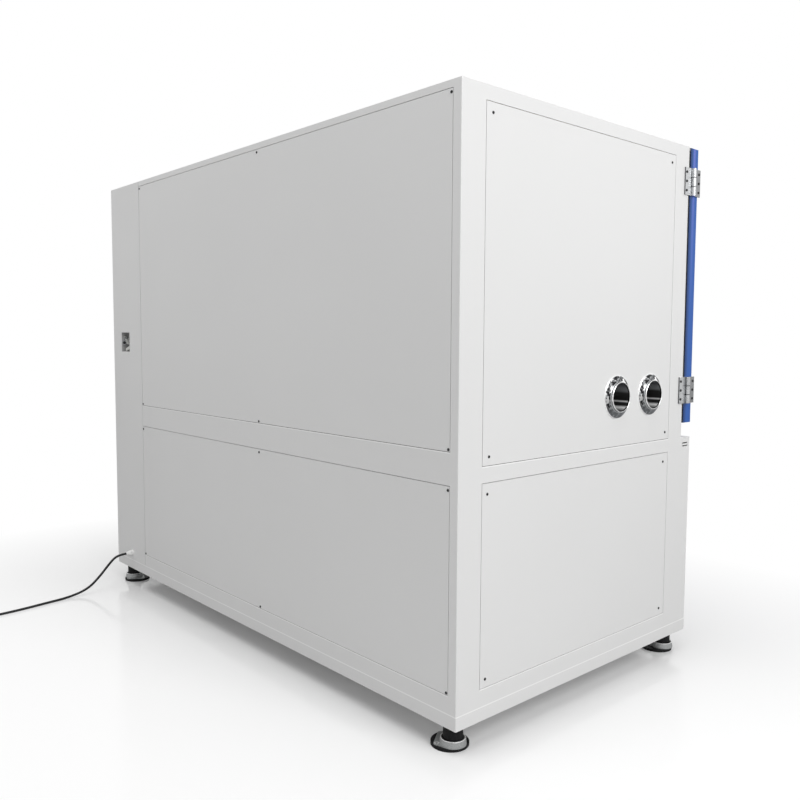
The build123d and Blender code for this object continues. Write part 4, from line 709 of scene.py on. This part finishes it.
def front_screws():
    """Screws of the latch plates and of the louvred front panel."""
    for door, x in (("left_door", MIDDLE - 0.0605), ("right_door", MIDDLE + 0.0605)):
        places = [(x, FRONT - 0.0062, LATCH_UP + dz) for dz in (-0.062, 0.062)]
        add_screws(door + "_latch_screws", places, (0, -1, 0), 0.0044, dark_screw, door)
    across = (LEFT + 0.0615, COLUMN - 0.6215)
    heights = (BASE + 0.1215, BASE + 0.6265)
    add_screws("lower_front_screws", [(x, FRONT, z) for x in across for z in heights],
               (0, -1, 0), SCREW, dark_screw, "chamber")


def hinge_screws():
    """Countersunk screws in the hinge leaves."""
    heights = [z + dz for z in HINGE_LEVELS for dz in (-0.031, 0.0, 0.031)]
    leaves = (("left_hinge_body", 1, "chamber"), ("left_hinge_door", -1, "left_door"),
              ("right_hinge_body", 1, "chamber"), ("right_hinge_door", -1, "right_door"))
    for name, side, body in leaves:
        offset = HINGE_SCREW_OFFSET * side
        if name.startswith("left"):
            places = [(LEFT - LEAF_FACE, FACE - HINGE_BACK + offset, z) for z in heights]
            direction = (-1, 0, 0)
        else:
            places = [(COLUMN - 0.0015 + offset, FRONT - LEAF_FACE, z) for z in heights]
            direction = (0, -1, 0)
        add_screws(name + "_screws", places, direction, 0.0046, dark_screw, body)


def mains_lead():
    """The mains lead, from its gland to the stored coil and the plug."""
    x = CORD_ACROSS
    floor = CORD_THICK / 2
    exit_point = (x, REAR + 0.030, BASE + 0.072)
    route = [exit_point, (x, REAR + 0.070, 0.148), (x, REAR + 0.102, 0.122),
             (x + 0.001, REAR + 0.152, 0.066), (x - 0.001, REAR + 0.206, 0.022),
             (x - 0.007, REAR + 0.290, floor), (x - 0.020, REAR + 0.385, floor),
             (x - 0.036, REAR + 0.480, floor), (x - 0.043, REAR + 0.570, floor),
             (x - 0.043, REAR + 0.650, floor)]
    turns = 6.25
    steps = round(turns * 20)
    for i in range(steps + 1):
        turn = turns * i / steps
        if turn <= 3:
            radius, height = 0.071 - 0.0103 * turn, floor
        elif turn <= 3.25:
            radius, height = 0.0401, floor + 0.0103 * (turn - 3) / 0.25
        else:
            radius, height = 0.0401 + 0.0103 * (turn - 3.25), floor + 0.0103
        angle = 2 * math.pi * turn
        route.append((COIL_ACROSS + radius * math.cos(angle),
                      COIL_BEHIND + radius * math.sin(angle), height))
    end = route[-1]
    route += [(end[0] - 0.030, end[1], end[2]), (end[0] - 0.062, end[1], end[2])]
    curve = bpy.data.curves.new("mains_lead", "CURVE")
    curve.dimensions = "3D"
    curve.bevel_depth = CORD_THICK / 2
    curve.bevel_resolution = 4
    curve.resolution_u = 6
    curve.use_fill_caps = True
    line = curve.splines.new("NURBS")
    line.points.add(len(route) - 1)
    for point, place in zip(line.points, route):
        point.co = (*place, 1.0)
    line.order_u = 3
    line.use_endpoint_u = True
    lead = bpy.data.objects.new("mains_lead", curve)
    bpy.context.scene.collection.objects.link(lead)
    curve.materials.append(lead_sheath.material)
    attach(lead, "chamber")
    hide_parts("power_cord", "cord_coil")


def studio():
    """Pale floor, white background, soft light and the camera of the photograph."""
    scene = bpy.context.scene
    scene.view_settings.view_transform = "Standard"
    mesh = bmesh.new()
    bmesh.ops.create_grid(mesh, x_segments=1, y_segments=1, size=30.0)
    data = bpy.data.meshes.new("floor")
    mesh.to_mesh(data)
    mesh.free()
    floor = bpy.data.objects.new("floor", data)
    scene.collection.objects.link(floor)
    gloss = Finish("pale_floor", Specular_IOR_Level=0.45)
    gloss.surface.inputs["Roughness"].default_value = 0.14
    ray = gloss.add("ShaderNodeLightPath", {}, {}, "Is Camera Ray")
    gloss.wear(Base_Color=gloss.blend(ray, (0.60, 0.60, 0.60), (0.97, 0.97, 0.97)))
    beside = (gloss.place - (0.0, 0.02, 0.0)).bare() - (1.10, 0.60, 0.0)
    away = beside.most(0.0).size()
    share = ray * away.spread(0.05, 1.25, 0.06, 1.0)
    glow = gloss.add("ShaderNodeEmission", {}, {"Color": (1, 1, 1, 1), "Strength": 1.0})
    mixed = gloss.add("ShaderNodeMixShader", {}, {
        0: share, 1: Signal(gloss, gloss.surface.outputs[0]), 2: glow})
    gloss.tree.links.new(mixed.socket, gloss.output.inputs["Surface"])
    paint(floor, gloss)
    scene.world = backdrop()
    add_lamp("side_softbox", (-5.2, 0.6, 3.8), (-1.1, 0.0, 1.25), 3.2, 152.0)
    add_lamp("rear_softbox", (1.6, 6.2, 4.2), (0.0, 0.6, 1.4), 4.0, 27.0)
    add_lamp("top_softbox", (-0.6, 1.6, 6.4), (-0.4, 0.6, 0.0), 5.0, 142.0)

    turn = (Matrix.Rotation(math.radians(-131.735), 4, "Z")
            @ Matrix.Rotation(math.radians(-4.24), 4, "X")
            @ Matrix.Rotation(math.radians(-0.264), 4, "Y")
            @ Matrix.Rotation(math.radians(90.0), 4, "X"))
    camera = bpy.data.objects.new("camera", bpy.data.cameras.new("camera"))
    scene.collection.objects.link(camera)
    camera.matrix_world = Matrix.Translation((LEFT - 1.4513, REAR + 1.5021, 1.1239)) @ turn
    camera.data.sensor_width = 36.0
    camera.data.lens = 36.51
    camera.data.shift_x = 0.0015
    camera.data.shift_y = -0.0036
    camera.data.clip_end = 200.0
    scene.camera = camera


def backdrop():
    """White in view, in metal and through glass, and plain soft light elsewhere."""
    world = bpy.data.worlds.new("studio")
    world.use_nodes = True
    tree = world.node_tree
    tree.nodes.clear()
    path = tree.nodes.new("ShaderNodeLightPath")
    seen = path.outputs["Is Camera Ray"]
    for kind in ("Is Glossy Ray", "Is Transmission Ray"):
        either = tree.nodes.new("ShaderNodeMath")
        either.operation = "MAXIMUM"
        tree.links.new(seen, either.inputs[0])
        tree.links.new(path.outputs[kind], either.inputs[1])
        seen = either.outputs[0]
    mix = tree.nodes.new("ShaderNodeMixShader")
    tree.links.new(seen, mix.inputs[0])
    for slot, strength in ((1, SOFT_LIGHT), (2, 1.0)):
        light = tree.nodes.new("ShaderNodeBackground")
        light.inputs["Color"].default_value = (1.0, 1.0, 1.0, 1.0)
        light.inputs["Strength"].default_value = strength
        tree.links.new(light.outputs[0], mix.inputs[slot])
    out = tree.nodes.new("ShaderNodeOutputWorld")
    tree.links.new(mix.outputs[0], out.inputs["Surface"])
    return world


def add_lamp(name, place, aim, size, power):
    lamp = bpy.data.lights.new(name, "AREA")
    lamp.shape = "SQUARE"
    lamp.size = size
    lamp.energy = power
    piece = bpy.data.objects.new(name, lamp)
    bpy.context.scene.collection.objects.link(piece)
    look = (Vector(aim) - Vector(place)).to_track_quat("-Z", "Y").to_matrix().to_4x4()
    piece.matrix_world = Matrix.Translation(place) @ look


dress_nodes()
panel_screws()
hinge_screws()
signal_connectors()
control_marks()
front_screws()
mains_lead()
studio()
